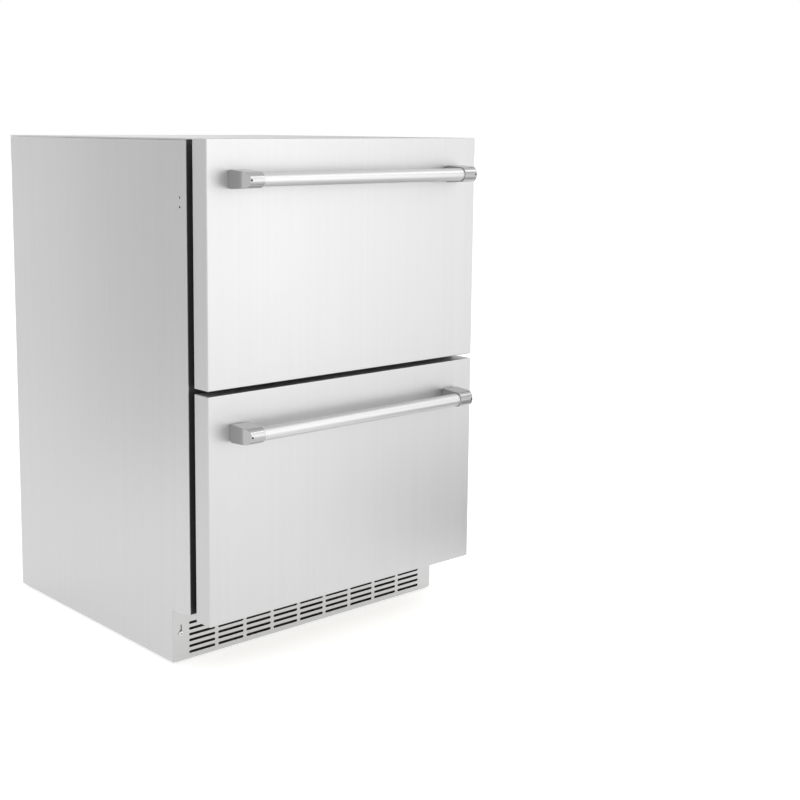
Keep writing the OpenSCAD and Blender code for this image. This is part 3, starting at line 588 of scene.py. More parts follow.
class Axis(Enum):
    """An axis, with the two that make a right-handed turn about it."""

    X = (Vector((1, 0, 0)), Vector((0, 1, 0)), Vector((0, 0, 1)))
    Y = (Vector((0, 1, 0)), Vector((0, 0, 1)), Vector((1, 0, 0)))
    Z = (Vector((0, 0, 1)), Vector((1, 0, 0)), Vector((0, 1, 0)))

    def ring(self, centre: Vector, along: float, radius: float, sides: int) -> list[Vector]:
        """Points on a circle about the axis.

        Args:
            centre: Where distances start.
            along: The circle's distance along the axis.
            radius: The circle's radius.
            sides: How many points it has.

        Returns:
            The points, in a right-handed turn.
        """
        axis, right, up = self.value
        turns = [math.tau * side / sides for side in range(sides)]
        return [centre + axis * along + radius * (right * math.cos(a) + up * math.sin(a)) for a in turns]

    def lift(self, outline: Iterable[Point2], along: float) -> list[Vector]:
        """Flat points put into the plane that stands across the axis at a distance along it.

        Args:
            outline: The points.
            along: The plane's distance.

        Returns:
            The points in space.
        """
        axis, right, up = self.value
        return [axis * along + right * first + up * second for first, second in outline]


class Form:
    """A mesh in the making."""

    def __init__(self) -> None:
        """Starts with nothing."""
        self.bm = bmesh.new()

    @classmethod
    def copy(cls, node: str) -> "Form":
        """A node of the frame as one joined skin, with its flat faces whole.

        Args:
            node: The node's name.

        Returns:
            The copy.
        """
        form = cls()
        source = frame["nodes"][node].data
        corners = [form.bm.verts.new(vertex.co) for vertex in source.vertices]
        for polygon in source.polygons:
            form.bm.faces.new([corners[index] for index in polygon.vertices])
        bmesh.ops.remove_doubles(form.bm, verts=form.bm.verts, dist=MERGE_DISTANCE)
        bmesh.ops.dissolve_limit(
            form.bm, angle_limit=FLAT_ANGLE, verts=form.bm.verts, edges=form.bm.edges
        )
        return form

    def loft(self, loops: Sequence[Sequence[Vector]], wrap: bool = False) -> "Form":
        """Joins loops of equally many points.

        Args:
            loops: The loops, in order.
            wrap: True to join the last to the first, False to close both ends with a face.

        Returns:
            The form itself.
        """
        rings = [[self.bm.verts.new(point) for point in loop] for loop in loops]
        pairs = list(zip(rings, rings[1:], strict=False))
        if wrap:
            pairs.append((rings[-1], rings[0]))
        for low, high in pairs:
            for here, point in enumerate(low):
                there = (here + 1) % len(low)
                self.bm.faces.new((point, low[there], high[there], high[here]))
        if not wrap:
            self.bm.faces.new(rings[0][::-1])
            self.bm.faces.new(rings[-1])
        return self

    def prism(self, outline: Sequence[Vector], along: Vector) -> "Form":
        """A straight bar with an outline as its section."""
        return self.loft([outline, [point + along for point in outline]])

    def block(self, lo: Sequence[float], hi: Sequence[float]) -> "Form":
        """A box between two corners."""
        outline = [(lo[0], lo[1]), (hi[0], lo[1]), (hi[0], hi[1]), (lo[0], hi[1])]
        return self.prism(Axis.Z.lift(outline, lo[2]), Vector((0, 0, hi[2] - lo[2])))

    def lathe(self, axis: Axis, centre: Vector, profile: Iterable[Point2], sides: int) -> "Form":
        """A turned piece.

        Args:
            axis: What it is turned about.
            centre: Where the profile's distances start.
            profile: Points of (distance along the axis, radius).
            sides: How many facets go round.

        Returns:
            The form itself.
        """
        return self.loft([axis.ring(centre, along, radius, sides) for along, radius in profile])

    def islands(self) -> list[Box]:
        """The box of each separate solid, in order along X.

        Returns:
            The boxes.
        """
        left = set(self.bm.verts)
        found = []
        while left:
            reached = [left.pop()]
            for vertex in reached:
                near = {edge.other_vert(vertex) for edge in vertex.link_edges} & left
                left -= near
                reached.extend(near)
            columns = list(zip(*(vertex.co for vertex in reached), strict=True))
            found.append(Box(Vector(map(min, columns)), Vector(map(max, columns))))
        return sorted(found, key=lambda box: tuple(box.lo))

    def open_up(self, axis: int, level: float, radius: float, segments: int) -> "Form":
        """Rounds a solid's edges and takes away the face that lies at one level.

        Args:
            axis: The number of the axis that the level is measured along.
            level: Where the face lies.
            radius: The radius of every edge that isn't the face's own.
            segments: How many facets round an edge.

        Returns:
            The form itself.
        """
        opening = next(
            face for face in self.bm.faces
            if abs(face.calc_center_median()[axis] - level) < MERGE_DISTANCE
        )
        kept = set(opening.edges)
        edges = [edge for edge in self.bm.edges if edge not in kept]
        bmesh.ops.bevel(
            self.bm, geom=edges, offset=radius, segments=segments, profile=0.5, affect="EDGES"
        )
        mouth = [
            face for face in self.bm.faces
            if all(abs(vertex.co[axis] - level) < MERGE_DISTANCE for vertex in face.verts)
        ]
        bmesh.ops.delete(self.bm, geom=mouth, context="FACES")
        return self

    def face_outwards(self) -> "Form":
        """Merges doubles and turns every face outwards.

        Returns:
            The form itself.
        """
        bmesh.ops.remove_doubles(self.bm, verts=self.bm.verts, dist=MERGE_DISTANCE)
        bmesh.ops.recalc_face_normals(self.bm, faces=self.bm.faces)
        return self

    def mesh(self, name: str) -> bpy.types.Mesh:
        """Ends the making.

        Args:
            name: The mesh's name.

        Returns:
            The mesh, with no material yet.
        """
        made = bpy.data.meshes.new(name)
        self.bm.to_mesh(made)
        self.bm.free()
        return made


class Tool:
    """Something done to a mesh by a modifier."""

    def fit(self, blank: bpy.types.Object) -> None:
        """Adds the modifier.

        Args:
            blank: The object that holds the mesh.
        """
        raise NotImplementedError


@dataclass(frozen=True)
class Thicken(Tool):
    """Gives an open sheet a wall on the side that its faces look away from."""

    wall: float

    def fit(self, blank: bpy.types.Object) -> None:
        """Adds a Solidify modifier.

        Args:
            blank: The object that holds the mesh.
        """
        made = blank.modifiers.new("wall", "SOLIDIFY")
        made.thickness = self.wall
        made.offset = -1.0
        made.use_even_offset = True


@dataclass(frozen=True)
class BreakEdges(Tool):
    """Rounds every sharp edge a little."""

    width: float
    segments: int = 2

    def fit(self, blank: bpy.types.Object) -> None:
        """Adds a Bevel modifier.

        Args:
            blank: The object that holds the mesh.
        """
        made = blank.modifiers.new("edges", "BEVEL")
        made.width = self.width
        made.segments = self.segments
        made.limit_method = "ANGLE"
        made.angle_limit = BEVEL_ANGLE
        made.use_clamp_overlap = True


@dataclass(frozen=True)
class Cut(Tool):
    """Cuts another mesh's shape out."""

    shape: bpy.types.Mesh

    def fit(self, blank: bpy.types.Object) -> None:
        """Adds a Boolean modifier.

        Args:
            blank: The object that holds the mesh.
        """
        made = blank.modifiers.new("cut", "BOOLEAN")
        made.operation = "DIFFERENCE"
        made.solver = "EXACT"
        made.object = stand_in(self.shape)


@dataclass(frozen=True)
class EvenShading(Tool):
    """Makes flat faces look flat beside their rounded edges."""

    def fit(self, blank: bpy.types.Object) -> None:
        """Adds a Weighted Normal modifier.

        Args:
            blank: The object that holds the mesh.
        """
        blank.data.set_sharp_from_angle(angle=SHARP_ANGLE)
        made = blank.modifiers.new("shading", "WEIGHTED_NORMAL")
        made.keep_sharp = True
        made.weight = 100


def stand_in(mesh: bpy.types.Mesh | None) -> bpy.types.Object:
    """A passing object, linked to the scene, that isn't one of the pieces.

    Args:
        mesh: Its mesh.

    Returns:
        The object.
    """
    made = bpy.data.objects.new("stand_in", mesh)
    bpy.context.scene.collection.objects.link(made)
    return made


def clear_away() -> None:
    """Removes every passing object."""
    for passing in [o for o in bpy.data.objects if o.name.startswith("stand_in")]:
        bpy.data.objects.remove(passing)


def evaluated(blank: bpy.types.Object) -> bpy.types.Mesh:
    """A plain mesh of what an object's modifiers make.

    Args:
        blank: The object.

    Returns:
        The mesh.
    """
    graph = bpy.context.evaluated_depsgraph_get()
    graph.update()
    return bpy.data.meshes.new_from_object(blank.evaluated_get(graph), depsgraph=graph)


def worked(mesh: bpy.types.Mesh, *tools: Tool) -> bpy.types.Mesh:
    """Does some tools' work on a mesh, one after another, and evens its shading.

    Args:
        mesh: The mesh to start from.
        tools: What is done to it.

    Returns:
        A plain mesh.
    """
    for tool in (*tools, EvenShading()):
        mesh.polygons.foreach_set("use_smooth", [True] * len(mesh.polygons))
        blank = stand_in(mesh)
        tool.fit(blank)
        mesh = evaluated(blank)
        clear_away()
    return mesh


def placed(
    name: str,
    mesh: bpy.types.Mesh,
    finish: Finish,
    body: str,
    stands_for: Sequence[str] = (),
) -> bpy.types.Object:
    """Makes a mesh one of the appliance's pieces.

    Args:
        name: The piece's name.
        mesh: Its mesh, already in place.
        finish: Its finish.
        body: The body that it moves with.
        stands_for: The frame's nodes that it is shown instead of.

    Returns:
        The piece.
    """
    piece = bpy.data.objects.new(name, mesh)
    mesh.name = name
    mesh.materials.clear()
    mesh.materials.append(finish.material())
    bpy.context.scene.collection.objects.link(piece)
    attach(piece, body)
    if stands_for:
        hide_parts(*stands_for)
    log.info("%s: %d faces on %s", name, len(mesh.polygons), body)
    return piece


def dressed(node: str, finish: Finish) -> None:
    """Gives a node that is shown as it is a finish.

    Args:
        node: The node's name.
        finish: Its finish.
    """
    piece = frame["nodes"][node]
    if not piece.material_slots:
        piece.data.materials.append(None)
    for slot in piece.material_slots:
        slot.material = finish.material()
    log.info("%s: as framed, in %s", node, finish.name)


def eased(node: str, name: str, finish: Finish, body: str, width: float, segments: int = 2) -> None:
    """Shows a node with its edges rounded.

    Args:
        node: The node's name.
        name: The piece's name.
        finish: Its finish.
        body: The body that it moves with.
        width: How wide the rounding is.
        segments: How many facets it has.
    """
    mesh = worked(Form.copy(node).mesh(name), BreakEdges(width, segments))
    placed(name, mesh, finish, body, [node])


# ---------------------------------------------------------------- repeated shapes


class Repeat:
    """A Geometry Nodes tree with named inputs, run once to make a plain mesh."""

    def __init__(self, name: str, inputs: Mapping[str, tuple[str, Any]]) -> None:
        """Starts the tree.

        Args:
            name: The tree's name.
            inputs: Each input's socket type and value.
        """
        self.tree = bpy.data.node_groups.new(name, "GeometryNodeTree")
        self.graph = Graph(self.tree)
        self.values = {}
        sockets = self.tree.interface
        sockets.new_socket("Geometry", in_out="INPUT", socket_type="NodeSocketGeometry")
        for label, (kind, value) in inputs.items():
            self.values[sockets.new_socket(label, in_out="INPUT", socket_type=kind).identifier] = value
        sockets.new_socket("Geometry", in_out="OUTPUT", socket_type="NodeSocketGeometry")
        self.given = self.tree.nodes.new("NodeGroupInput").outputs

    def geometry(
        self,
        kind: str,
        settings: Mapping[str, Any] | None = None,
        sockets: Mapping[str | int, Any] | None = None,
    ) -> bpy.types.NodeSocket:
        """Adds a node and returns its first output."""
        return self.graph.node(kind, settings, sockets).outputs[0]

    def many(self, points: bpy.types.NodeSocket, shape: bpy.types.NodeSocket) -> bpy.types.NodeSocket:
        """Puts a shape on every point.

        Args:
            points: Where the copies go.
            shape: What is copied.

        Returns:
            The instances.
        """
        return self.geometry("GeometryNodeInstanceOnPoints", None, {"Points": points, "Instance": shape})

    def carved(self, shape: bpy.types.NodeSocket, *cutters: bpy.types.NodeSocket) -> bpy.types.NodeSocket:
        """Cuts shapes out of another.

        Args:
            shape: What is cut.
            cutters: What is taken away.

        Returns:
            What is left.
        """
        made = self.graph.node("GeometryNodeMeshBoolean", {"operation": "DIFFERENCE"}, {"Mesh 1": shape})
        for cutter in cutters:
            self.tree.links.new(cutter, made.inputs["Mesh 2"])
        return made.outputs[0]

    def moved(self, shape: bpy.types.NodeSocket, offset: Any) -> bpy.types.NodeSocket:
        """Moves a shape."""
        return self.geometry("GeometryNodeTransform", None, {"Geometry": shape, "Translation": offset})

    def vector(self, x: Any = 0.0, y: Any = 0.0, z: Any = 0.0) -> bpy.types.NodeSocket:
        """A vector from three values or links."""
        return self.geometry("ShaderNodeCombineXYZ", None, {"X": x, "Y": y, "Z": z})

    def signal(self, label: str) -> Signal:
        """One of the tree's inputs, to calculate with."""
        return Signal(self.graph, self.given[label])

    def run(
        self, shape: bpy.types.NodeSocket, finish: Finish, points: Sequence[Vector] = ()
    ) -> bpy.types.Mesh:
        """Ends the tree and makes its mesh.

        Args:
            shape: The geometry to give out.
            finish: The finish that Set Material gives it.
            points: The incoming mesh's vertices, where the tree uses them.

        Returns:
            A plain mesh.
        """
        real = self.geometry("GeometryNodeRealizeInstances", None, {"Geometry": shape})
        shown = self.geometry(
            "GeometryNodeSetMaterial", None, {"Geometry": real, "Material": finish.material()}
        )
        self.tree.links.new(shown, self.tree.nodes.new("NodeGroupOutput").inputs[0])
        carrier = bpy.data.meshes.new("carrier")
        carrier.from_pydata([tuple(point) for point in points], [], [])
        blank = stand_in(carrier)
        modifier = blank.modifiers.new("repeat", "NODES")
        modifier.node_group = self.tree
        for identifier, value in self.values.items():
            modifier[identifier] = value
        made = evaluated(blank)
        blank.modifiers.remove(modifier)
        clear_away()
        return made


class Drive(Enum):
    """What turns a screw."""

    CROSS = "cross"
    HEX = "hex"


@dataclass(frozen=True)
class Screws:
    """A group of identical screws whose heads stand on points and look one way.

    A share is a part of the head's radius, and a lift is a part of its height. The dome is cut from a ball
    that is flattened until dome_share times dome_rise of the head's height lies over its middle.
    """

    head_radius: float
    head_height: float
    drive: Drive
    turn: Point3
    dome_share: float = 1.15
    dome_rise: float = 0.93
    key_share: float = 0.56
    key_lift: float = 0.8
    arm_share: float = 0.22
    arm_lift: float = 0.95

    def mesh(self, points: Sequence[Vector], finish: Finish) -> bpy.types.Mesh:
        """Makes every head of the group.

        Args:
            points: The middle of each head's underside.
            finish: The heads' finish.

        Returns:
            The heads as one mesh.
        """
        repeat = Repeat(
            "screw_heads",
            {
                "Head Radius": ("NodeSocketFloat", self.head_radius),
                "Head Height": ("NodeSocketFloat", self.head_height),
                "Turn": ("NodeSocketVector", self.turn),
            },
        )
        radius, height = repeat.signal("Head Radius"), repeat.signal("Head Height")
        head = self._head(repeat, radius, height)
        carved = repeat.carved(head, *self._recess(repeat, radius, height))
        points_in = repeat.geometry("GeometryNodeMeshToPoints", None, {"Mesh": repeat.given["Geometry"]})
        turn = repeat.geometry("FunctionNodeEulerToRotation", None, {0: repeat.given["Turn"]})
        stood = repeat.geometry(
            "GeometryNodeInstanceOnPoints",
            None,
            {"Points": points_in, "Instance": carved, "Rotation": turn},
        )
        return repeat.run(stood, finish, points)

    def _head(self, repeat: Repeat, radius: Signal, height: Signal) -> bpy.types.NodeSocket:
        """A pan head: a low drum under a flat dome.

        Args:
            repeat: The tree to add to.
            radius: The head's radius.
            height: The head's height.

        Returns:
            The head, with its underside at the origin.
        """
        drum = repeat.geometry(
            "GeometryNodeMeshCylinder", None, {"Vertices": 32, "Radius": radius, "Depth": height}
        )
        raised = repeat.moved(drum, repeat.vector(z=height * 0.5))
        if self.drive is Drive.HEX:
            return raised
        dome = repeat.geometry(
            "GeometryNodeMeshUVSphere",
            None,
            {"Segments": 32, "Rings": 24, "Radius": radius * self.dome_share},
        )
        flattening = height * self.dome_rise * (1 / self.head_radius)
        squash = repeat.vector(1.0, 1.0, flattening)
        low = repeat.geometry("GeometryNodeTransform", None, {"Geometry": dome, "Scale": squash})
        met = repeat.graph.node("GeometryNodeMeshBoolean", {"operation": "INTERSECT"})
        for part in (raised, low):
            repeat.tree.links.new(part, met.inputs["Mesh 2"])
        return met.outputs[0]

    def _recess(self, repeat: Repeat, radius: Signal, height: Signal) -> list[bpy.types.NodeSocket]:
        """The shapes that make the driver's recess.

        Args:
            repeat: The tree to add to.
            radius: The head's radius.
            height: The head's height.

        Returns:
            The shapes to cut out of the head.
        """
        if self.drive is Drive.HEX:
            key = repeat.geometry(
                "GeometryNodeMeshCylinder",
                None,
                {"Vertices": 6, "Radius": radius * self.key_share, "Depth": height},
            )
            return [repeat.moved(key, repeat.vector(z=height * self.key_lift))]
        arms = []
        for share_x, share_y in ((1.0, self.arm_share), (self.arm_share, 1.0)):
            size = repeat.vector(radius * share_x, radius * share_y, height)
            arm = repeat.geometry("GeometryNodeMeshCube", None, {"Size": size})
            arms.append(repeat.moved(arm, repeat.vector(z=height * self.arm_lift)))
        return arms


@dataclass(frozen=True)
class BallRow:
    """A straight row of bearing balls."""

    radius: float
    pitch: float
    count: int

    def mesh(self, starts: Sequence[Vector], finish: Finish) -> bpy.types.Mesh:
        """Makes a row from each start towards +Y.

        Args:
            starts: The first ball's middle in each row.
            finish: The balls' finish.

        Returns:
            Every row as one mesh.
        """
        repeat = Repeat(
            "bearing_balls",
            {
                "Ball Radius": ("NodeSocketFloat", self.radius),
                "Pitch": ("NodeSocketFloat", self.pitch),
                "Count": ("NodeSocketInt", self.count),
            },
        )
        ball = repeat.geometry(
            "GeometryNodeMeshIcoSphere", None, {"Radius": repeat.given["Ball Radius"], "Subdivisions": 3}
        )
        line = repeat.geometry(
            "GeometryNodeMeshLine",
            None,
            {"Count": repeat.given["Count"], "Offset": repeat.vector(y=repeat.given["Pitch"])},
        )
        row = repeat.many(line, ball)
        points_in = repeat.geometry("GeometryNodeMeshToPoints", None, {"Mesh": repeat.given["Geometry"]})
        mesh = repeat.run(repeat.many(points_in, row), finish, starts)
        mesh.polygons.foreach_set("use_smooth", [True] * len(mesh.polygons))
        return mesh


@dataclass(frozen=True)
class WireScreen:
    """A woven screen of thin upright and level wires across the XZ plane."""

    wire: float
    pitch: float

    def mesh(self, area: Box, finish: Finish) -> bpy.types.Mesh:
        """Weaves the screen.

        Args:
            area: What the screen fills; its depth isn't used.
            finish: The wires' finish.

        Returns:
            The screen as one mesh.
        """
        wide, _, high = area.size
        repeat = Repeat(
            "wire_screen",
            {
                "Wire": ("NodeSocketFloat", self.wire),
                "Pitch": ("NodeSocketFloat", self.pitch),
                "Width": ("NodeSocketFloat", wide),
                "Height": ("NodeSocketFloat", high),
                "Uprights": ("NodeSocketInt", int(wide / self.pitch) + 1),
                "Levels": ("NodeSocketInt", int(high / self.pitch) + 1),
            },
        )
        wire, pitch = repeat.given["Wire"], repeat.given["Pitch"]
        upright = repeat.geometry(
            "GeometryNodeMeshCube", None, {"Size": repeat.vector(wire, wire, repeat.given["Height"])}
        )
        level = repeat.geometry(
            "GeometryNodeMeshCube", None, {"Size": repeat.vector(repeat.given["Width"], wire, wire)}
        )
        rows = []
        runs = (("Uprights", upright, repeat.vector(x=pitch)), ("Levels", level, repeat.vector(z=pitch)))
        for label, shape, step in runs:
            line = repeat.geometry(
                "GeometryNodeMeshLine", None, {"Count": repeat.given[label], "Offset": step}
            )
            rows.append(repeat.many(line, shape))
        low_left = Vector((area.lo.x, area.centre.y, area.centre.z))
        low_middle = Vector((area.centre.x, area.centre.y + self.wire, area.lo.z))
        moved = [repeat.moved(row, at) for row, at in zip(rows, (low_left, low_middle), strict=True)]
        joined = repeat.graph.node("GeometryNodeJoinGeometry")
        for row in moved:
            repeat.tree.links.new(row, joined.inputs[0])
        return repeat.run(joined.outputs[0], finish)


@dataclass(frozen=True)
class FinRow:
    """A row of thin upright plates along X."""

    fin: float
    count: int

    def mesh(self, area: Box, finish: Finish) -> bpy.types.Mesh:
        """Makes the row.

        Args:
            area: What the row fills.
            finish: The fins' finish.

        Returns:
            The row as one mesh.
        """
        wide, deep, high = area.size
        repeat = Repeat(
            "cooling_fins",
            {
                "Fin": ("NodeSocketFloat", self.fin),
                "Pitch": ("NodeSocketFloat", wide / (self.count - 1)),
                "Count": ("NodeSocketInt", self.count),
                "Depth": ("NodeSocketFloat", deep),
                "Height": ("NodeSocketFloat", high),
            },
        )
        size = repeat.vector(repeat.given["Fin"], repeat.given["Depth"], repeat.given["Height"])
        fin = repeat.geometry("GeometryNodeMeshCube", None, {"Size": size})
        line = repeat.geometry(
            "GeometryNodeMeshLine",
            None,
            {"Count": repeat.given["Count"], "Offset": repeat.vector(x=repeat.given["Pitch"])},
        )
        start = Vector((area.lo.x, area.centre.y, area.centre.z))
        return repeat.run(repeat.moved(repeat.many(line, fin), start), finish)


# ---------------------------------------------------------------- studio


@dataclass(frozen=True)
class Softbox:
    """A rectangular studio light that the camera doesn't see."""

    name: str
    place: Point3
    aim: Point3
    width: float
    height: float
    brightness: float

    def build(self) -> None:
        """Hangs the light."""
        data = bpy.data.lights.new(self.name, "AREA")
        data.shape = "RECTANGLE"
        data.size = self.width
        data.size_y = self.height
        data.energy = self.brightness * math.pi * self.width * self.height
        light = bpy.data.objects.new(self.name, data)
        bpy.context.scene.collection.objects.link(light)
        light.location = self.place
        light.rotation_euler = (Vector(self.aim) - Vector(self.place)).to_track_quat("-Z", "Y").to_euler()
        light.visible_camera = False


@dataclass(frozen=True)
class Flag:
    """A dark panel beside the set that only polished metal mirrors."""

    name: str
    place: Point3
    width: float
    height: float
    facing: float
    tone: float
    tilt: float = 0.0
    thickness: float = 0.01

    def build(self) -> None:
        """Hangs the panel by its middle."""
        half = Vector((self.width, self.thickness, self.height)) / 2
        mesh = Form().block(-half, half).face_outwards().mesh(self.name)
        facing = Matrix.Rotation(math.radians(self.facing), 4, "Z")
        tilt = Matrix.Rotation(math.radians(self.tilt), 4, "X")
        mesh.transform(Matrix.Translation(self.place) @ facing @ tilt)
        panel = bpy.data.objects.new(self.name, mesh)
        cloth = bpy.data.materials.new(f"{self.name}_cloth")
        cloth.use_nodes = True
        shader = cloth.node_tree.nodes["Principled BSDF"].inputs
        shader["Base Color"].default_value = (*grey(self.tone), 1.0)
        shader["Roughness"].default_value = 1.0
        mesh.materials.append(cloth)
        bpy.context.scene.collection.objects.link(panel)
        panel.visible_camera = False
        panel.visible_shadow = False
        panel.visible_diffuse = False


@dataclass(frozen=True)
class Studio:
    """A white sweep of floor, a white surround, soft lights and the camera."""

    floor_half: float = 30.0
    floor_white: float = 0.55
    floor_glow: float = 0.62
    surround: float = 1.0
    lens: float = 61.34
    sensor: float = 36.0
    shift: Point2 = (0.074, -0.10)
    stand: Point3 = (-1.5112, -2.0125, 0.8937)
    yaw: float = 40.821
    pitch: float = 8.093
    roll: float = 0.343
    lights: tuple[Softbox, ...] = (
        Softbox("front_softbox", (1.1, -2.35, 0.75), (-0.1, -0.28, 0.5), 1.15, 1.9, 1.25),
        Softbox("top_strip", (1.3, -1.4, 1.95), (0.0, -0.33, 0.7), 1.7, 0.4, 2.1),
        Softbox("rear_softbox", (1.5, 2.3, 2.7), (0.0, 0.34, 0.5), 1.2, 1.2, 1.2),
    )
    flags: tuple[Flag, ...] = (
        Flag("side_flag", (-1.248, 1.032, 0.575), 0.28, 1.15, 36.5, 0.01),
        Flag("floor_flag", (0.88, -0.75, 0.03), 1.0, 0.7, -46.0, 0.5, 90.0),
        Flag("rear_ceiling_flag", (1.2, 0.9, 1.6), 1.4, 1.0, 0.0, 0.02, 90.0),
        Flag("rear_low_flag", (0.0, 1.7, 0.25), 1.0, 0.4, 0.0, 0.05),
    )

    def build(self) -> None:
        """Sets up the whole studio."""
        scene = bpy.context.scene
        scene.view_settings.view_transform = "Standard"
        self._floor()
        self._surround(scene)
        for light in self.lights:
            light.build()
        for flag in self.flags:
            flag.build()
        self._camera(scene)
        log.info("studio: %d lights, %d flags", len(self.lights), len(self.flags))

    def _floor(self) -> None:
        """Lays the pale floor."""
        reach = self.floor_half
        form = Form()
        corners = [(-reach, -reach, 0), (reach, -reach, 0), (reach, reach, 0), (-reach, reach, 0)]
        form.bm.faces.new([form.bm.verts.new(corner) for corner in corners])
        mesh = form.mesh("studio_floor")
        paper = bpy.data.materials.new("white_paper")
        paper.use_nodes = True
        shader = paper.node_tree.nodes["Principled BSDF"].inputs
        shader["Base Color"].default_value = (*grey(self.floor_white), 1.0)
        shader["Roughness"].default_value = 0.9
        shader["Specular IOR Level"].default_value = 0.1
        shader["Emission Color"].default_value = (1.0, 1.0, 1.0, 1.0)
        shader["Emission Strength"].default_value = self.floor_glow
        mesh.materials.append(paper)
        floor = bpy.data.objects.new("studio_floor", mesh)
        bpy.context.scene.collection.objects.link(floor)

    def _surround(self, scene: bpy.types.Scene) -> None:
        """Fills the space around with even white light.

        Args:
            scene: The scene to light.
        """
        world = bpy.data.worlds.new("white_surround")
        world.use_nodes = True
        background = world.node_tree.nodes["Background"].inputs
        background["Color"].default_value = (1.0, 1.0, 1.0, 1.0)
        background["Strength"].default_value = self.surround
        scene.world = world

    def _camera(self, scene: bpy.types.Scene) -> None:
        """Stands the camera at the front left, a little above the top panel.

        Args:
            scene: The scene to look at.
        """
        data = bpy.data.cameras.new("camera")
        data.lens = self.lens
        data.sensor_width = self.sensor
        data.shift_x, data.shift_y = self.shift
        camera = bpy.data.objects.new("camera", data)
        scene.collection.objects.link(camera)
        yaw, pitch, roll = (math.radians(angle) for angle in (self.yaw, self.pitch, self.roll))
        ahead = Vector((math.sin(yaw), math.cos(yaw), 0))
        right = Vector((math.cos(yaw), -math.sin(yaw), 0))
        sky = Vector((0, 0, 1))
        view = ahead * math.cos(pitch) - sky * math.sin(pitch)
        up = sky * math.cos(pitch) + ahead * math.sin(pitch)
        turned_right = right * math.cos(roll) + up * math.sin(roll)
        turned_up = up * math.cos(roll) - right * math.sin(roll)
        turn = Matrix((turned_right, turned_up, -view)).transposed().to_4x4()
        camera.matrix_world = Matrix.Translation(self.stand) @ turn
        scene.camera = camera


# ---------------------------------------------------------------- cabinet


@dataclass
class Cabinet:
    """The outer sheets, the front frame, the base and the foam."""

    body: str = "cabinet"
    sheet_edge: float = 0.4 * MM
    grille_edge: float = 0.1 * MM
    frame_edge: float = 1.2 * MM
    filter_gap: float = 2.2 * MM
    filter_wire: float = 0.7 * MM
    filter_pitch: float = 2.6 * MM
    filter_low: float = 9.5 * MM
    filter_side: float = 24 * MM

    def build(self) -> None:
        """Makes every piece of the cabinet."""
        sheets = {
            "left_panel": "left_side_sheet",
            "right_panel": "right_side_sheet",
            "top_panel": "top_sheet",
        }
        for node, name in sheets.items():
            eased(node, name, Palette.SIDE_STEEL, self.body, self.sheet_edge)
        eased("toe_grille", "toe_grille_sheet", Palette.GRILLE_STEEL, self.body, self.grille_edge)
        eased("back_panel", "back_sheet", Palette.GALVANISED, self.body, self.sheet_edge)
        eased("base_tray", "base_pan", Palette.GALVANISED, self.body, self.sheet_edge)
        eased("front_frame", "front_frame_moulding", Palette.FRAME_PLASTIC, self.body, self.frame_edge, 3)
        dressed("insulation", Palette.FOAM)
        self._filter()
        self._screws()

    def _filter(self) -> None:
        """Weaves the dust filter that hangs behind the toe grille."""
        grille = Box.of("toe_grille")
        front = grille.hi.y + self.filter_gap
        lo = Vector((grille.lo.x + self.filter_side, front, grille.lo.z + self.filter_low))
        hi = Vector((grille.hi.x - self.filter_side, front + self.filter_wire, grille.hi.z))
        screen = WireScreen(self.filter_wire, self.filter_pitch).mesh(Box(lo, hi), Palette.FILTER_NYLON)
        placed("dust_filter", screen, Palette.FILTER_NYLON, self.body)

    def _screws(self) -> None:
        """Turns in the screws of the grille and of the back."""
        solids = Form.copy("cabinet_screws").islands()
        front = [solid for solid in solids if solid.centre.y < 0]
        back = [solid for solid in solids if solid.centre.y > 0]
        rise = Box.of("toe_grille").lo.y - front[0].lo.y
        self._heads("grille_screws", front, rise, rise, 90)
        self._heads("back_screws", back, 0.0, back[0].size.y, -90)

    def _heads(self, name: str, solids: Sequence[Box], seat: float, height: float, turn: float) -> None:
        """Shows a group of screws.

        Args:
            name: The group's name.
            solids: The box of each screw.
            seat: How far behind its box's front a head stands on the sheet.
            height: The heads' height.
            turn: The angle about X, in degrees, that turns a head from up to its own way.
        """
        points = [Vector((solid.centre.x, solid.lo.y + seat, solid.centre.z)) for solid in solids]
        turned = (math.radians(turn), 0.0, 0.0)
        screws = Screws(solids[0].size.x / 2, height, Drive.CROSS, turned)
        mesh = worked(screws.mesh(points, Palette.SCREW_STEEL))
        placed(name, mesh, Palette.SCREW_STEEL, self.body, ["cabinet_screws"])


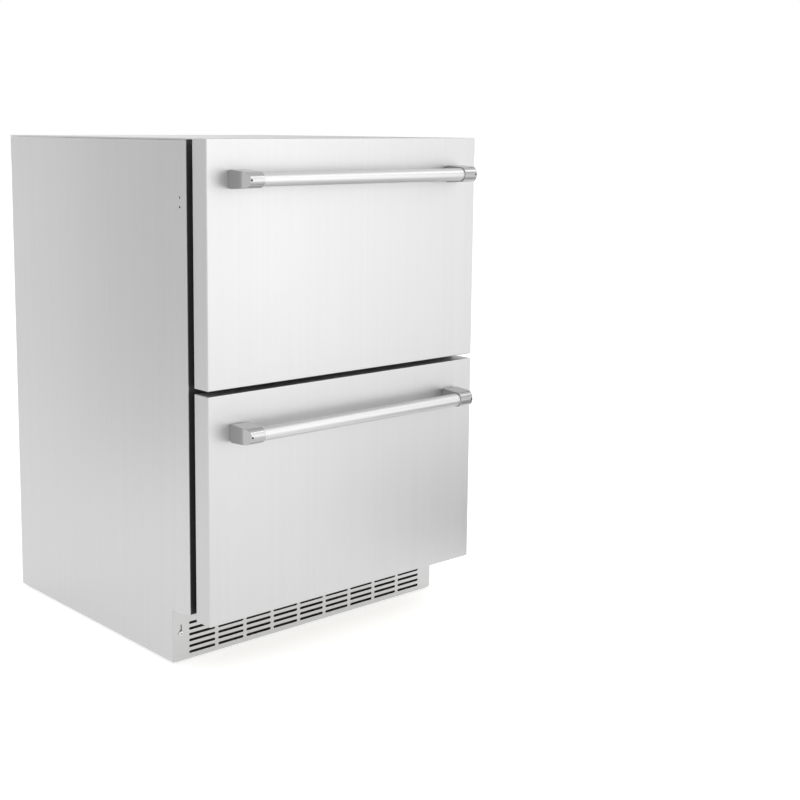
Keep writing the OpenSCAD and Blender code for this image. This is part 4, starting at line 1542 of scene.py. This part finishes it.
@dataclass
class MachineCover:
    """The louvred sheet behind the machine compartment."""

    body: str = "cabinet"
    columns: int = 5
    rows: int = 11
    pitch_x: float = 80 * MM
    pitch_z: float = 16 * MM
    first_x: float = -110 * MM
    first_rise: float = 42 * MM
    hood_half: float = 33.5 * MM
    hood_height: float = 8 * MM
    hood_drop: float = 2.6 * MM
    hood_reach: float = 2.9 * MM
    hood_wall: float = 0.6 * MM
    hood_lift: float = 0.02 * MM
    hood_columns: int = 12
    hood_rows: int = 4
    edge: float = 0.3 * MM

    def build(self) -> None:
        """Makes the sheet and its louvre hoods."""
        eased("machine_cover", "machine_cover_sheet", Palette.GALVANISED, self.body, self.edge)
        sheet = Box.of("machine_cover")
        start = Vector((self.first_x, sheet.hi.y, sheet.lo.z + self.first_rise))
        repeat = Repeat(
            "louvre_hoods",
            {
                "Hood": ("NodeSocketObject", stand_in(self._hood())),
                "Columns": ("NodeSocketInt", self.columns),
                "Rows": ("NodeSocketInt", self.rows),
                "Pitch X": ("NodeSocketFloat", self.pitch_x),
                "Pitch Z": ("NodeSocketFloat", self.pitch_z),
            },
        )
        hood = repeat.graph.node("GeometryNodeObjectInfo", None, {"Object": repeat.given["Hood"]})
        shape = hood.outputs["Geometry"]
        steps = {
            "Columns": repeat.vector(x=repeat.given["Pitch X"]),
            "Rows": repeat.vector(z=repeat.given["Pitch Z"]),
        }
        for label, offset in steps.items():
            line = repeat.geometry(
                "GeometryNodeMeshLine", None, {"Count": repeat.given[label], "Offset": offset}
            )
            shape = repeat.many(line, shape)
        mesh = repeat.run(repeat.moved(shape, start), Palette.GALVANISED)
        placed("louvre_hoods", worked(mesh), Palette.GALVANISED, self.body)

    def _hood(self) -> bpy.types.Mesh:
        """One hood over a slot at the origin: a pressed lip, open below, that bulges towards +Y.

        Returns:
            The hood's mesh.
        """
        form = Form()
        rows = []
        for step in range(self.hood_rows + 1):
            rise = step / self.hood_rows
            row = []
            for place in range(self.hood_columns + 1):
                side = 2 * place / self.hood_columns - 1
                bulge = self.hood_reach * math.sqrt(1 - side**6) * math.cos(rise * math.pi / 2) ** 0.7
                z = self.hood_height * rise - self.hood_drop
                row.append(form.bm.verts.new((side * self.hood_half, bulge + self.hood_lift, z)))
            rows.append(row)
        for low, high in zip(rows, rows[1:], strict=False):
            for here in range(self.hood_columns):
                form.bm.faces.new((low[here + 1], low[here], high[here], high[here + 1]))
        return worked(form.mesh("louvre_hood"), Thicken(self.hood_wall))


@dataclass
class PowerInlet:
    """The three-pin appliance inlet low on the back."""

    body: str = "cabinet"
    pins: tuple[Point2, ...] = ((-7 * MM, -2 * MM), (7 * MM, -2 * MM), (0.0, 2 * MM))
    pin_half_w: float = 1.1 * MM
    pin_half_h: float = 2.1 * MM
    pin_root: float = 19 * MM
    pin_tip: float = 2.9 * MM
    pin_edge: float = 0.5 * MM
    edge: float = 0.6 * MM

    def build(self) -> None:
        """Makes the housing and its pins."""
        eased("power_inlet", "power_inlet_socket", Palette.INLET_PLASTIC, self.body, self.edge, 3)
        socket = Box.of("power_inlet")
        root, tip = socket.hi.y - self.pin_root, socket.hi.y - self.pin_tip
        form = Form()
        for right, up in self.pins:
            x, z = socket.centre.x + right, socket.centre.z + up
            form.block(
                (x - self.pin_half_w, root, z - self.pin_half_h),
                (x + self.pin_half_w, tip, z + self.pin_half_h),
            )
        mesh = worked(form.face_outwards().mesh("inlet_pins"), BreakEdges(self.pin_edge, 3))
        placed("inlet_pins", mesh, Palette.BRASS_PIN, self.body)


class Level(Enum):
    """Which of the two drawers or compartments."""

    UPPER = "upper"
    LOWER = "lower"


@dataclass
class Liner:
    """The moulded tub of one cold compartment."""

    level: Level
    body: str = "cabinet"
    wall: float = 1.5 * MM
    radius: float = 12 * MM
    step_y: float = 76 * MM
    step_z: float = 274 * MM
    duct_x: float = 120 * MM
    duct_half: float = 40 * MM
    duct_front: float = 50 * MM
    duct_back: float = 14 * MM
    duct_rise: float = 30 * MM
    corner_facets: int = 5

    def build(self) -> None:
        """Moulds the tub and cuts its air ducts."""
        node = f"{self.level.value}_liner"
        outer = Box.of(node)
        inset = Vector((self.wall,) * 3)
        inner = Box(outer.lo + inset, outer.hi - inset)
        sheet = self._tub(inner, outer.lo.y).mesh(node)
        mesh = worked(sheet, Thicken(self.wall), Cut(self._ducts(inner)))
        placed(f"{self.level.value}_liner_tub", mesh, Palette.LINER_PLASTIC, self.body, [node])

    def _tub(self, inner: Box, front: float) -> Form:
        """The tub's inside as an open sheet; the lower one is stepped over the machine compartment.

        Args:
            inner: The box of the tub's inside.
            front: Where the tub's mouth lies.

        Returns:
            The sheet, with its faces towards the cold space.
        """
        lo, hi = inner.lo, inner.hi
        outline = [(front, lo.z), (hi.y, lo.z), (hi.y, hi.z), (front, hi.z)]
        if self.level is Level.LOWER:
            outline[1:2] = [(self.step_y, lo.z), (self.step_y, self.step_z), (hi.y, self.step_z)]
        form = Form().prism(Axis.X.lift(outline, lo.x), Vector((hi.x - lo.x, 0, 0))).face_outwards()
        form.open_up(1, front, self.radius, self.corner_facets)
        bmesh.ops.reverse_faces(form.bm, faces=form.bm.faces)
        return form

    def _ducts(self, inner: Box) -> bpy.types.Mesh:
        """The shape of both ducts, through the wall that faces the other compartment.

        Args:
            inner: The box of the tub's inside.

        Returns:
            The shape to cut out of the tub.
        """
        form = Form()
        middle = inner.lo.z if self.level is Level.UPPER else inner.hi.z
        for side in (-1, 1):
            x = side * self.duct_x
            form.block(
                (x - self.duct_half, inner.hi.y - self.duct_front, middle - self.duct_rise),
                (x + self.duct_half, inner.hi.y - self.duct_back, middle + self.duct_rise),
            )
        return form.face_outwards().mesh("ducts")


# ---------------------------------------------------------------- cooling and controls


@dataclass
class CoolingSystem:
    """The sealed system, its fans and the lamps of the compartments."""

    body: str = "cabinet"
    fin: float = 0.25 * MM
    condenser_fins: int = 93
    evaporator_fins: int = 83
    coil_end: float = 12.0 * MM
    coil_bend_share: float = 0.12
    fin_inset: float = 0.3 * MM

    def build(self) -> None:
        """Makes the machine compartment's pieces and the evaporator's."""
        # Each row: node, piece, finish, body, width of its rounded edges and their facets.
        pieces = (
            ("compressor", "compressor_can", Palette.BLACK_ENAMEL, self.body, 1.5 * MM, 3),
            ("condenser_fan_shroud", "fan_shroud_moulding", Palette.FAN_PLASTIC, self.body, 0.6 * MM, 2),
            ("evaporator_cover", "fan_cover_moulding", Palette.LINER_PLASTIC, self.body, 0.5 * MM, 2),
            ("refrigerant_lines", "copper_lines", Palette.COPPER, self.body, 0.3 * MM, 2),
            ("interior_lights", "compartment_lamps", Palette.LAMP_GLOW, self.body, 1.2 * MM, 3),
            ("condenser_fan", "condenser_rotor", Palette.FAN_PLASTIC, "condenser_fan", 0.4 * MM, 2),
            ("evaporator_fan", "evaporator_rotor", Palette.LINER_PLASTIC, "evaporator_fan", 0.4 * MM, 2),
        )
        for row in pieces:
            eased(*row)
        coils = {"condenser": self.condenser_fins, "evaporator": self.evaporator_fins}
        for node, count in coils.items():
            dressed(node, Palette.FIN_ALUMINIUM)
            coil = Box.of(node)
            bends = coil.size.z * self.coil_bend_share + self.coil_end
            ends = Vector((bends, self.fin_inset, self.fin_inset))
            area = Box(coil.lo + ends, coil.hi - ends)
            fins = FinRow(self.fin, count).mesh(area, Palette.FIN_ALUMINIUM)
            placed(f"{node}_fins", fins, Palette.FIN_ALUMINIUM, self.body)


SEGMENTS = {
    "a": ((0.0, 2.0), (1.0, 2.0)),
    "b": ((1.0, 2.0), (1.0, 1.0)),
    "c": ((1.0, 1.0), (1.0, 0.0)),
    "d": ((0.0, 0.0), (1.0, 0.0)),
    "e": ((0.0, 1.0), (0.0, 0.0)),
    "f": ((0.0, 2.0), (0.0, 1.0)),
    "g": ((0.0, 1.0), (1.0, 1.0)),
}
DIGITS = {"3": "abgcd", "8": "abcdefg"}

# The marks' proportions, as parts of half their height.
ARROW_FOOT = 0.6
RING_RADIUS = 0.8
RING_INSIDE = 0.74      # of the ring's own radius
LAMP_CORE = 0.55        # of the ring's own radius
LAMP_RAYS = 8
ARC_CHORDS = 24
POWER_STEM = ((-0.12, 0.2), (0.12, 0.2), (0.12, 1.0), (-0.12, 1.0))
LAMP_RAY = ((-0.08, 0.65), (0.08, 0.65), (0.08, 1.0), (-0.08, 1.0))


class Icon(Enum):
    """What a button is marked with."""

    POWER = "power_button"
    LAMP = "light_button"
    UP = "warmer_button"
    DOWN = "cooler_button"

    def outlines(self, size: float) -> list[list[Point2]]:
        """The mark's closed outlines.

        Args:
            size: Half of the mark's height.

        Returns:
            Outlines of (right, up) points.
        """
        if self is Icon.UP or self is Icon.DOWN:
            tip = size if self is Icon.UP else -size
            foot = -tip * ARROW_FOOT
            return [[(-size, foot), (size, foot), (0.0, tip)]]
        start, end = (120, 420) if self is Icon.POWER else (0, 360)
        arc = [math.radians(start + (end - start) * step / ARC_CHORDS) for step in range(ARC_CHORDS + 1)]
        radius = size * RING_RADIUS
        outer = [(radius * math.cos(a), radius * math.sin(a)) for a in arc]
        if self is Icon.LAMP:
            core = [(x * LAMP_CORE, y * LAMP_CORE) for x, y in outer[:-1]]
            turns = [math.tau * ray / LAMP_RAYS for ray in range(LAMP_RAYS)]
            return [core, *([self._turned(x, y, turn, size) for x, y in LAMP_RAY] for turn in turns)]
        inner = [(x * RING_INSIDE, y * RING_INSIDE) for x, y in reversed(outer)]
        return [outer + inner, [(x * size, y * size) for x, y in POWER_STEM]]

    @staticmethod
    def _turned(x: float, y: float, angle: float, size: float) -> Point2:
        """A point turned about the mark's middle."""
        cos, sin = math.cos(angle) * size, math.sin(angle) * size
        return (x * cos - y * sin, x * sin + y * cos)


@dataclass
class ControlPanel:
    """The electronic control on the cabinet's top rail."""

    body: str = "cabinet"
    digit_w: float = 6.0 * MM
    digit_h: float = 5.2 * MM
    digit_gap: float = 5.0 * MM
    stroke: float = 0.9 * MM
    inset_share: float = 0.65
    ink: float = 0.12 * MM
    icon_half: float = 2.9 * MM
    housing_edge: float = 0.8 * MM
    lens_edge: float = 0.3 * MM
    button_edge: float = 0.5 * MM
    shown: str = "38"

    def build(self) -> None:
        """Makes the housing, the lens with its digits, and the marked buttons."""
        housing, lens, button = Palette.CONTROL_PLASTIC, Palette.SMOKED_LENS, Palette.BUTTON_PLASTIC
        eased("control_housing", "control_panel_moulding", housing, self.body, self.housing_edge, 3)
        eased("display_lens", "display_window", lens, self.body, self.lens_edge)
        self._digits()
        for icon in Icon:
            eased(icon.value, f"{icon.value}_cap", button, icon.value, self.button_edge, 3)
            self._mark(icon)

    def _digits(self) -> None:
        """Lights the display's digits."""
        lens = Box.of("display_lens")
        form = Form()
        gaps = (len(self.shown) - 1) * self.digit_gap
        left = lens.centre.x - (len(self.shown) * self.digit_w + gaps) / 2
        low = lens.centre.z - self.digit_h
        for place, digit in enumerate(self.shown):
            x0 = left + place * (self.digit_w + self.digit_gap)
            for name in DIGITS[digit]:
                (ax, az), (bx, bz) = SEGMENTS[name]
                start = Vector((x0 + ax * self.digit_w, 0, low + az * self.digit_h))
                end = Vector((x0 + bx * self.digit_w, 0, low + bz * self.digit_h))
                self._segment(form, start, end, lens.lo.y)
        mesh = form.face_outwards().mesh("display_digits")
        placed("display_digits", worked(mesh), Palette.DIGIT_GLOW, self.body)

    def _segment(self, form: Form, start: Vector, end: Vector, y: float) -> None:
        """Adds one lit bar with pointed ends.

        Args:
            form: The digits' form.
            start: One end of the bar's place.
            end: The other end.
            y: Where the lens's face lies.
        """
        along = (end - start).normalized()
        across = Vector((-along.z, 0, along.x)) * (self.stroke / 2)
        inset = along * self.stroke * self.inset_share
        a, b = start + inset, end - inset
        tip = along * self.stroke / 2
        outline = [a - tip, a - across, b - across, b + tip, b + across, a + across]
        lifted = [point + Vector((0, y - self.ink, 0)) for point in outline]
        form.prism(lifted, Vector((0, self.ink * 2, 0)))

    def _mark(self, icon: Icon) -> None:
        """Prints a button's mark.

        Args:
            icon: The mark and its button.
        """
        button = Box.of(icon.value)
        form = Form()
        for outline in icon.outlines(self.icon_half):
            printed = [(button.centre.z + z, button.centre.x + x) for x, z in outline]
            form.prism(Axis.Y.lift(printed, button.lo.y - self.ink / 2), Vector((0, self.ink, 0)))
        mesh = form.face_outwards().mesh(f"{icon.value}_mark")
        placed(f"{icon.value}_mark", worked(mesh), Palette.ICON_INK, icon.value)


# ---------------------------------------------------------------- feet and slides


@dataclass
class Foot:
    """One levelling foot: a disc on a threaded stem."""

    name: str
    sides: int = 40
    stem: float = 5 * MM
    root: float = 4.45 * MM
    thread_pitch: float = 1.25 * MM
    crest_half: float = 0.1 * MM
    end_plain: float = 1 * MM
    chamfer: float = 0.8 * MM
    disc: tuple[Point2, ...] = (
        (0.0, 14.8 * MM), (0.3 * MM, 16.2 * MM), (0.9 * MM, 17 * MM), (1.6 * MM, 17 * MM),
        (2.3 * MM, 16.3 * MM), (3.2 * MM, 14.4 * MM), (3.5 * MM, 13.4 * MM),
    )

    def build(self) -> None:
        """Turns the foot."""
        box = Box.of(self.name)
        centre = Vector((box.centre.x, box.centre.y, box.lo.z))
        profile = [*self.disc, (self.disc[-1][0], self.stem)]
        height = self.disc[-1][0]
        while height + self.thread_pitch < box.size.z - self.end_plain:
            crest = height + self.thread_pitch / 2
            height += self.thread_pitch
            profile += [(crest - self.crest_half, self.stem), (crest + self.crest_half, self.stem)]
            profile.append((height, self.root))
        profile += [(box.size.z - self.chamfer, self.root), (box.size.z, self.root - self.chamfer)]
        form = Form().lathe(Axis.Z, centre, profile, self.sides).face_outwards()
        mesh = worked(form.mesh(self.name))
        placed(f"{self.name}_turned", mesh, Palette.FOOT_ENAMEL, self.name, [self.name])


@dataclass
class Slides:
    """The two telescopic slides of one drawer: rails, middle members, runners and balls."""

    level: Level
    edge: float = 0.25 * MM
    rail_ball: float = 1.85 * MM
    rail_ball_height: float = 19.4 * MM
    rail_ball_depth: float = 6.0 * MM
    rail_ball_start: float = 184 * MM
    ball_pitch: float = 13.0 * MM
    balls: int = 13

    def build(self) -> None:
        """Makes both slides."""
        level = self.level.value
        members = (
            ("rail", "rail_channel", "cabinet"),
            ("slide", "middle_channel", f"{level}_slides"),
            ("runner", "runner_channel", f"{level}_drawer"),
        )
        for side in ("left", "right"):
            start = f"{level}_{side}"
            for node, name, body in members:
                eased(f"{start}_{node}", f"{start}_{name}", Palette.SLIDE_ZINC, body, self.edge)
        self._balls(level)

    def _balls(self, level: str) -> None:
        """Fills the cages between the rails and the middle members.

        Args:
            level: The first part of the slides' names.
        """
        starts = []
        for side in (-1, 1):
            rail = Box.of(f"{level}_left_rail" if side < 0 else f"{level}_right_rail")
            wall = rail.lo.x if side < 0 else rail.hi.x
            x, y = wall - side * self.rail_ball_depth, rail.hi.y - self.rail_ball_start
            for up in (-1, 1):
                starts.append(Vector((x, y, rail.centre.z + up * self.rail_ball_height)))
        row = BallRow(self.rail_ball, self.ball_pitch, self.balls)
        mesh = row.mesh(starts, Palette.BALL_STEEL)
        placed(f"{level}_slide_balls", mesh, Palette.BALL_STEEL, f"{level}_slides")


# ---------------------------------------------------------------- drawers


# One half of the gasket's section and the whole of the bin rim's, in millimetres: across or out, and up.
GASKET_HALF = (
    (1.6, 0.0), (1.6, 1.2), (0.3, 2.6), (0.15, 3.2), (0.3, 3.8), (1.5, 5.0), (1.5, 5.6), (0.3, 6.8),
    (0.15, 7.4), (0.3, 8.0), (1.2, 9.0), (1.2, 9.4), (0.5, 10.0), (0.3, 10.6), (0.3, 11.9), (1.0, 12.6),
    (2.2, 12.7), (3.0, 12.3),
)
BIN_RIM = (
    (-1.25, -3.0), (-1.25, -0.9), (-0.9, -0.3), (-0.2, -0.02), (6.9, 0.0), (7.6, -0.25), (8.0, -1.0),
    (8.0, -4.5), (7.6, -5.0), (7.0, -5.0), (6.8, -4.5), (6.8, -1.7), (6.3, -1.2), (0.1, -1.2), (0.1, -3.0),
)


@dataclass
class Drawer:
    """One drawer: its front, gasket, bin and handle."""

    level: Level
    wall: float = 1.2 * MM
    fold: float = 1.4 * MM
    fold_angle: float = math.radians(60)
    fold_facets: int = 4
    square: float = 0.01 * MM           # so small a corner radius that merging makes it square
    square_merge: float = 0.05 * MM
    lip: float = 9 * MM
    window_area: float = 0.1            # in square metres; at the pan's back, only the open face is larger
    gasket_w: float = 16 * MM
    gasket_corner: float = 0.05 * MM
    liner_wall: float = 1.5 * MM
    plate_radius: float = 2 * MM
    plug_depth: float = 21.5 * MM
    plug_side: float = 249 * MM
    plug_radius: float = 9 * MM
    plug_margin: float = 9 * MM
    plug_fillet: float = 3 * MM
    plug_crown: float = 5 * MM
    facets: int = 6
    bin_radius: float = 10 * MM
    rim_out: float = 8 * MM
    rim_front_share: float = 0.04
    step_y: float = 62 * MM
    step_z: float = 283 * MM

    @property
    def name(self) -> str:
        """The first part of its nodes' names."""
        return self.level.value

    @property
    def body(self) -> str:
        """The body that its pieces move with."""
        return f"{self.name}_drawer"

    def build(self) -> None:
        """Makes every piece of the drawer."""
        self._skin()
        dressed(f"{self.name}_front_core", Palette.FOAM)
        self._inner_panel()
        self._gasket()
        self._bin()
        Handle(self.level, self.body).build()

    def _skin(self) -> None:
        """Folds the stainless pan of the front."""
        node = f"{self.name}_front_skin"
        box = Box.of(node)
        lo, hi = (box.lo.z, box.lo.x), (box.hi.z, box.hi.x)
        inner_lo, inner_hi = (lo[0] + self.lip, lo[1] + self.lip), (hi[0] - self.lip, hi[1] - self.lip)
        outer = flat_loop(lo, hi, self.square, 1)
        inner = flat_loop(inner_lo, inner_hi, self.square, 1)
        form = Form().loft(
            [Axis.Y.lift(outer, box.lo.y), Axis.Y.lift(outer, box.hi.y), Axis.Y.lift(inner, box.hi.y)]
        )
        bmesh.ops.remove_doubles(form.bm, verts=form.bm.verts, dist=self.square_merge)
        bmesh.ops.recalc_face_normals(form.bm, faces=form.bm.faces)
        inside = {edge for face in self._window(form, box) for edge in face.edges}
        folds = [
            edge for edge in form.bm.edges
            if edge not in inside and edge.calc_face_angle(0) > self.fold_angle
        ]
        bmesh.ops.bevel(
            form.bm, geom=folds, offset=self.fold, segments=self.fold_facets, profile=0.5, affect="EDGES"
        )
        bmesh.ops.delete(form.bm, geom=self._window(form, box), context="FACES")
        mesh = worked(form.mesh(node), Thicken(self.wall))
        placed(f"{self.name}_front_pan", mesh, Palette.FRONT_STEEL, self.body, [node])

    def _window(self, form: Form, box: Box) -> list[bmesh.types.BMFace]:
        """The large face inside the pan's lips, which is open in the finished pan.

        Args:
            form: The pan's form.
            box: The pan's box.

        Returns:
            The face, or the faces that the bevel has made of it.
        """
        behind = box.hi.y - MM
        return [
            face for face in form.bm.faces
            if face.calc_area() > self.window_area and face.calc_center_median().y > behind
        ]

    def _inner_panel(self) -> None:
        """Moulds the panel behind the pan, with its raised plug."""
        node = f"{self.name}_inner_panel"
        box = Box.of(node)
        liner = Box.of(f"{self.name}_liner")
        rear = box.hi.y - self.plug_depth
        low = liner.lo.z + self.liner_wall + self.plug_margin
        high = liner.hi.z - self.liner_wall - self.plug_margin
        plate_lo, plate_hi = (box.lo.z, box.lo.x), (box.hi.z, box.hi.x)
        plate = flat_loop(plate_lo, plate_hi, self.plate_radius, self.facets)
        loops = [Axis.Y.lift(plate, box.lo.y), Axis.Y.lift(plate, rear)]
        fillet = self.plug_fillet
        for grown, along in ((fillet, 0.0), (fillet / 3, fillet / 3), (0.0, fillet)):
            loops.append(self._plug_loop(low, high, grown, rear + along))
        for step in range(self.facets + 1):
            angle = math.radians(90 * step / self.facets)
            shrink = self.plug_crown * (1 - math.cos(angle))
            along = box.hi.y - self.plug_crown * (1 - math.sin(angle))
            loops.append(self._plug_loop(low, high, -shrink, along))
        form = Form().loft(loops).face_outwards()
        mesh = worked(form.mesh(node))
        placed(f"{self.name}_inner_moulding", mesh, Palette.LINER_PLASTIC, self.body, [node])

    def _plug_loop(self, low: float, high: float, grown: float, along: float) -> list[Vector]:
        """The plug's outline, grown on every side.

        Args:
            low: The plug's lower end.
            high: Its upper end.
            grown: How far every side is moved out.
            along: The outline's distance along Y.

        Returns:
            The outline's points.
        """
        lo = (low - grown, -self.plug_side - grown)
        hi = (high + grown, self.plug_side + grown)
        return Axis.Y.lift(flat_loop(lo, hi, self.plug_radius + grown, self.facets), along)

    def _gasket(self) -> None:
        """Runs the bellows section of the gasket round the front."""
        node = f"{self.name}_gasket"
        box = Box.of(node)
        scale = box.size.y / (max(up for _, up in GASKET_HALF) * MM)
        near = [(across * MM, up * MM * scale) for across, up in GASKET_HALF]
        far = [(self.gasket_w - across, up) for across, up in reversed(near)]
        loops = []
        for across, up in near + far:
            lo = (box.lo.z + across, box.lo.x + across)
            hi = (box.hi.z - across, box.hi.x - across)
            loops.append(Axis.Y.lift(flat_loop(lo, hi, self.gasket_corner, 1), box.lo.y + up))
        form = Form().loft(loops, wrap=True).face_outwards()
        mesh = worked(form.mesh(node))
        placed(f"{self.name}_gasket_bellows", mesh, Palette.GASKET_RUBBER, self.body, [node])

    def _bin(self) -> None:
        """Folds the bin and rolls its rim."""
        node = f"{self.name}_bin"
        box = Box.of(node)
        x = box.hi.x - self.rim_out
        front, back, low, high = box.lo.y, box.hi.y - self.rim_out, box.lo.z, box.hi.z
        outline = [(front, low), (back, low), (back, high), (front, high)]
        if self.level is Level.LOWER:
            outline[1:2] = [(self.step_y, low), (self.step_y, self.step_z), (back, self.step_z)]
        form = Form().prism(Axis.X.lift(outline, -x), Vector((2 * x, 0, 0))).face_outwards()
        form.open_up(2, high, self.bin_radius, self.facets)
        tub = worked(form.mesh(node), Thicken(self.wall))
        rim = Form()
        rim.bm.from_mesh(tub)
        loops = []
        for out, up in BIN_RIM:
            grown = out * MM
            ahead = grown * self.rim_front_share if grown > 0 else grown
            lo, hi = (-x - grown, front - ahead), (x + grown, back + grown)
            flat = flat_loop(lo, hi, self.bin_radius + grown, self.facets)
            loops.append(Axis.Z.lift(flat, high + up * MM))
        ring = Form().loft(loops, wrap=True).face_outwards().mesh("rim")
        rim.bm.from_mesh(ring)
        mesh = worked(rim.mesh(node))
        placed(f"{self.name}_bin_tub", mesh, Palette.BIN_STEEL, self.body, [node])


@dataclass
class Handle:
    """A tube between two brackets that are fixed to a drawer front."""

    level: Level
    body: str
    tube_sides: int = 96
    tube_chamfer: float = 0.8 * MM
    bend: float = 35 * MM
    tip_inset: float = 5.5 * MM
    base_radius: float = 6 * MM
    bore_depth: float = 19 * MM
    running_fit: float = 0.05 * MM
    edge: float = 0.7 * MM
    screw_inset: float = 8 * MM
    screw_radius: float = 2 * MM
    screw_depth: float = 5 * MM
    screw_sunk: float = 1.0 * MM
    screw_lift: float = 0.6 * MM
    screw_play: float = 0.08 * MM
    corner_facets: int = 8
    collar_facets: int = 56
    hole_sides: int = 32

    def build(self) -> None:
        """Makes the tube, both brackets and their set screws."""
        name = self.level.value
        tube = Box.of(f"{name}_handle_bar")
        mesh = self._tube(tube)
        placed(f"{name}_handle_tube", mesh, Palette.HANDLE_STEEL, self.body, [f"{name}_handle_bar"])
        seats = []
        for side in (-1, 1):
            node = f"{name}_left_bracket" if side < 0 else f"{name}_right_bracket"
            box = Box.of(node)
            mesh = self._bracket(box, tube, side)
            placed(f"{node}_casting", mesh, Palette.BRACKET_METAL, self.body, [node])
            outer = box.hi.x if side > 0 else box.lo.x
            depth = box.lo.y + self.screw_depth - self.screw_lift
            seats.append(Vector((outer - side * self.screw_inset, depth, tube.centre.z)))
        height = self.screw_depth - self.screw_lift - self.screw_sunk
        turn = (math.radians(90), 0.0, 0.0)
        screws = Screws(self.screw_radius - self.screw_play, height, Drive.HEX, turn)
        mesh = worked(screws.mesh(seats, Palette.FOOT_ENAMEL))
        placed(f"{name}_set_screws", mesh, Palette.FOOT_ENAMEL, self.body)

    def _tube(self, tube: Box) -> bpy.types.Mesh:
        """The tube, with its ends chamfered.

        Args:
            tube: The tube's box.

        Returns:
            The tube's mesh.
        """
        radius, length, chamfer = tube.size.y / 2, tube.size.x, self.tube_chamfer
        profile = [
            (0.0, radius - chamfer),
            (chamfer, radius),
            (length / 2, radius),
            (length - chamfer, radius),
            (length, radius - chamfer),
        ]
        start = Vector((tube.lo.x, tube.centre.y, tube.centre.z))
        return worked(Form().lathe(Axis.X, start, profile, self.tube_sides).face_outwards().mesh("tube"))

    def _outline(self, box: Box, tube: Box) -> list[Point2]:
        """The bracket's side outline in (y, z): a base, two flats and the collar round the tube.

        Args:
            box: The bracket's box.
            tube: The tube's box.

        Returns:
            The outline's points, starting at the lower bend.
        """
        face, axis, level = box.hi.y, tube.centre.y, tube.centre.z
        half, collar = box.size.z / 2, axis - box.lo.y
        reach = face - axis
        turn = math.atan2(half, reach) + math.acos(collar / math.hypot(reach, half))
        bend = face - self.bend
        base = face - self.base_radius
        flat_y, flat_z = axis + collar * math.cos(turn), collar * math.sin(turn)
        share = (base - bend) / (base - flat_y)
        bend_z = half + (flat_z - half) * share
        points = [(bend, level - bend_z)]
        radius = self.base_radius
        for start, centre in ((-90, level - half + radius), (0, level + half - radius)):
            for step in range(self.corner_facets + 1):
                angle = math.radians(start + 90 * step / self.corner_facets)
                points.append((base + radius * math.cos(angle), centre + radius * math.sin(angle)))
        points.append((bend, level + bend_z))
        for step in range(self.collar_facets + 1):
            angle = turn + (math.tau - 2 * turn) * step / self.collar_facets
            points.append((axis + collar * math.cos(angle), level + collar * math.sin(angle)))
        return points

    def _bracket(self, box: Box, tube: Box, side: int) -> bpy.types.Mesh:
        """One bracket, with its bore and the hole of its set screw.

        Args:
            box: The bracket's box.
            tube: The tube's box.
            side: -1 for the left one, 1 for the right one.

        Returns:
            The bracket's mesh.
        """
        inner, outer = (box.lo.x, box.hi.x) if side > 0 else (box.hi.x, box.lo.x)
        return worked(
            self._blank(box, tube, side).mesh("bracket"),
            BreakEdges(self.edge, 3),
            Cut(self._bore(tube, inner, side)),
            Cut(self._screw_hole(Vector((outer - side * self.screw_inset, box.lo.y, tube.centre.z)))),
        )

    def _blank(self, box: Box, tube: Box, side: int) -> Form:
        """The bracket before it is bored, with an outer face that is cut back towards its tip.

        Args:
            box: The bracket's box.
            tube: The tube's box.
            side: -1 for the left one, 1 for the right one.

        Returns:
            The blank.
        """
        inner, outer = (box.lo.x, box.hi.x) if side > 0 else (box.hi.x, box.lo.x)
        outline = self._outline(box, tube)
        bend = box.hi.y - self.bend
        taper = self.tip_inset / (bend - box.lo.y)
        form = Form()
        near = [form.bm.verts.new((inner, y, z)) for y, z in outline]
        far = [form.bm.verts.new((outer - side * max(bend - y, 0) * taper, y, z)) for y, z in outline]
        for here in range(len(near)):
            there = (here + 1) % len(near)
            form.bm.faces.new((near[here], near[there], far[there], far[here]))
        second_bend = 1 + 2 * (self.corner_facets + 1)
        form.bm.faces.new(near)
        form.bm.faces.new(far[: second_bend + 1])
        form.bm.faces.new([far[0], *far[second_bend:]])
        return form.face_outwards()

    def _bore(self, tube: Box, inner: float, side: int) -> bpy.types.Mesh:
        """The shape of the blind bore that holds the tube.

        Args:
            tube: The tube's box.
            inner: Where the bracket's inner face lies along X.
            side: -1 for the left bracket, 1 for the right one.

        Returns:
            The shape to cut out of the bracket.
        """
        radius = tube.size.y / 2 + self.running_fit
        low, high = sorted((inner - side * MM, inner + side * self.bore_depth))
        start = Vector((low, tube.centre.y, tube.centre.z))
        form = Form().lathe(Axis.X, start, [(0.0, radius), (high - low, radius)], self.tube_sides)
        return form.face_outwards().mesh("bore")

    def _screw_hole(self, mouth: Vector) -> bpy.types.Mesh:
        """The shape of the set screw's hole, from a millimetre ahead of its mouth.

        Args:
            mouth: The middle of the hole's mouth.

        Returns:
            The shape to cut out of the bracket.
        """
        profile = [(0.0, self.screw_radius), (self.screw_depth + MM, self.screw_radius)]
        form = Form().lathe(Axis.Y, mouth - Vector((0, MM, 0)), profile, self.hole_sides)
        return form.face_outwards().mesh("screw_hole")


def main() -> None:
    """Builds the studio and every sub-assembly."""
    logging.basicConfig(level=logging.INFO, format="%(message)s")
    Studio().build()
    Cabinet().build()
    MachineCover().build()
    PowerInlet().build()
    CoolingSystem().build()
    ControlPanel().build()
    for corner in ("front_left_foot", "front_right_foot", "rear_left_foot", "rear_right_foot"):
        Foot(corner).build()
    for level in Level:
        Liner(level).build()
        Slides(level).build()
        Drawer(level).build()


if __name__ == "__main__":
    main()
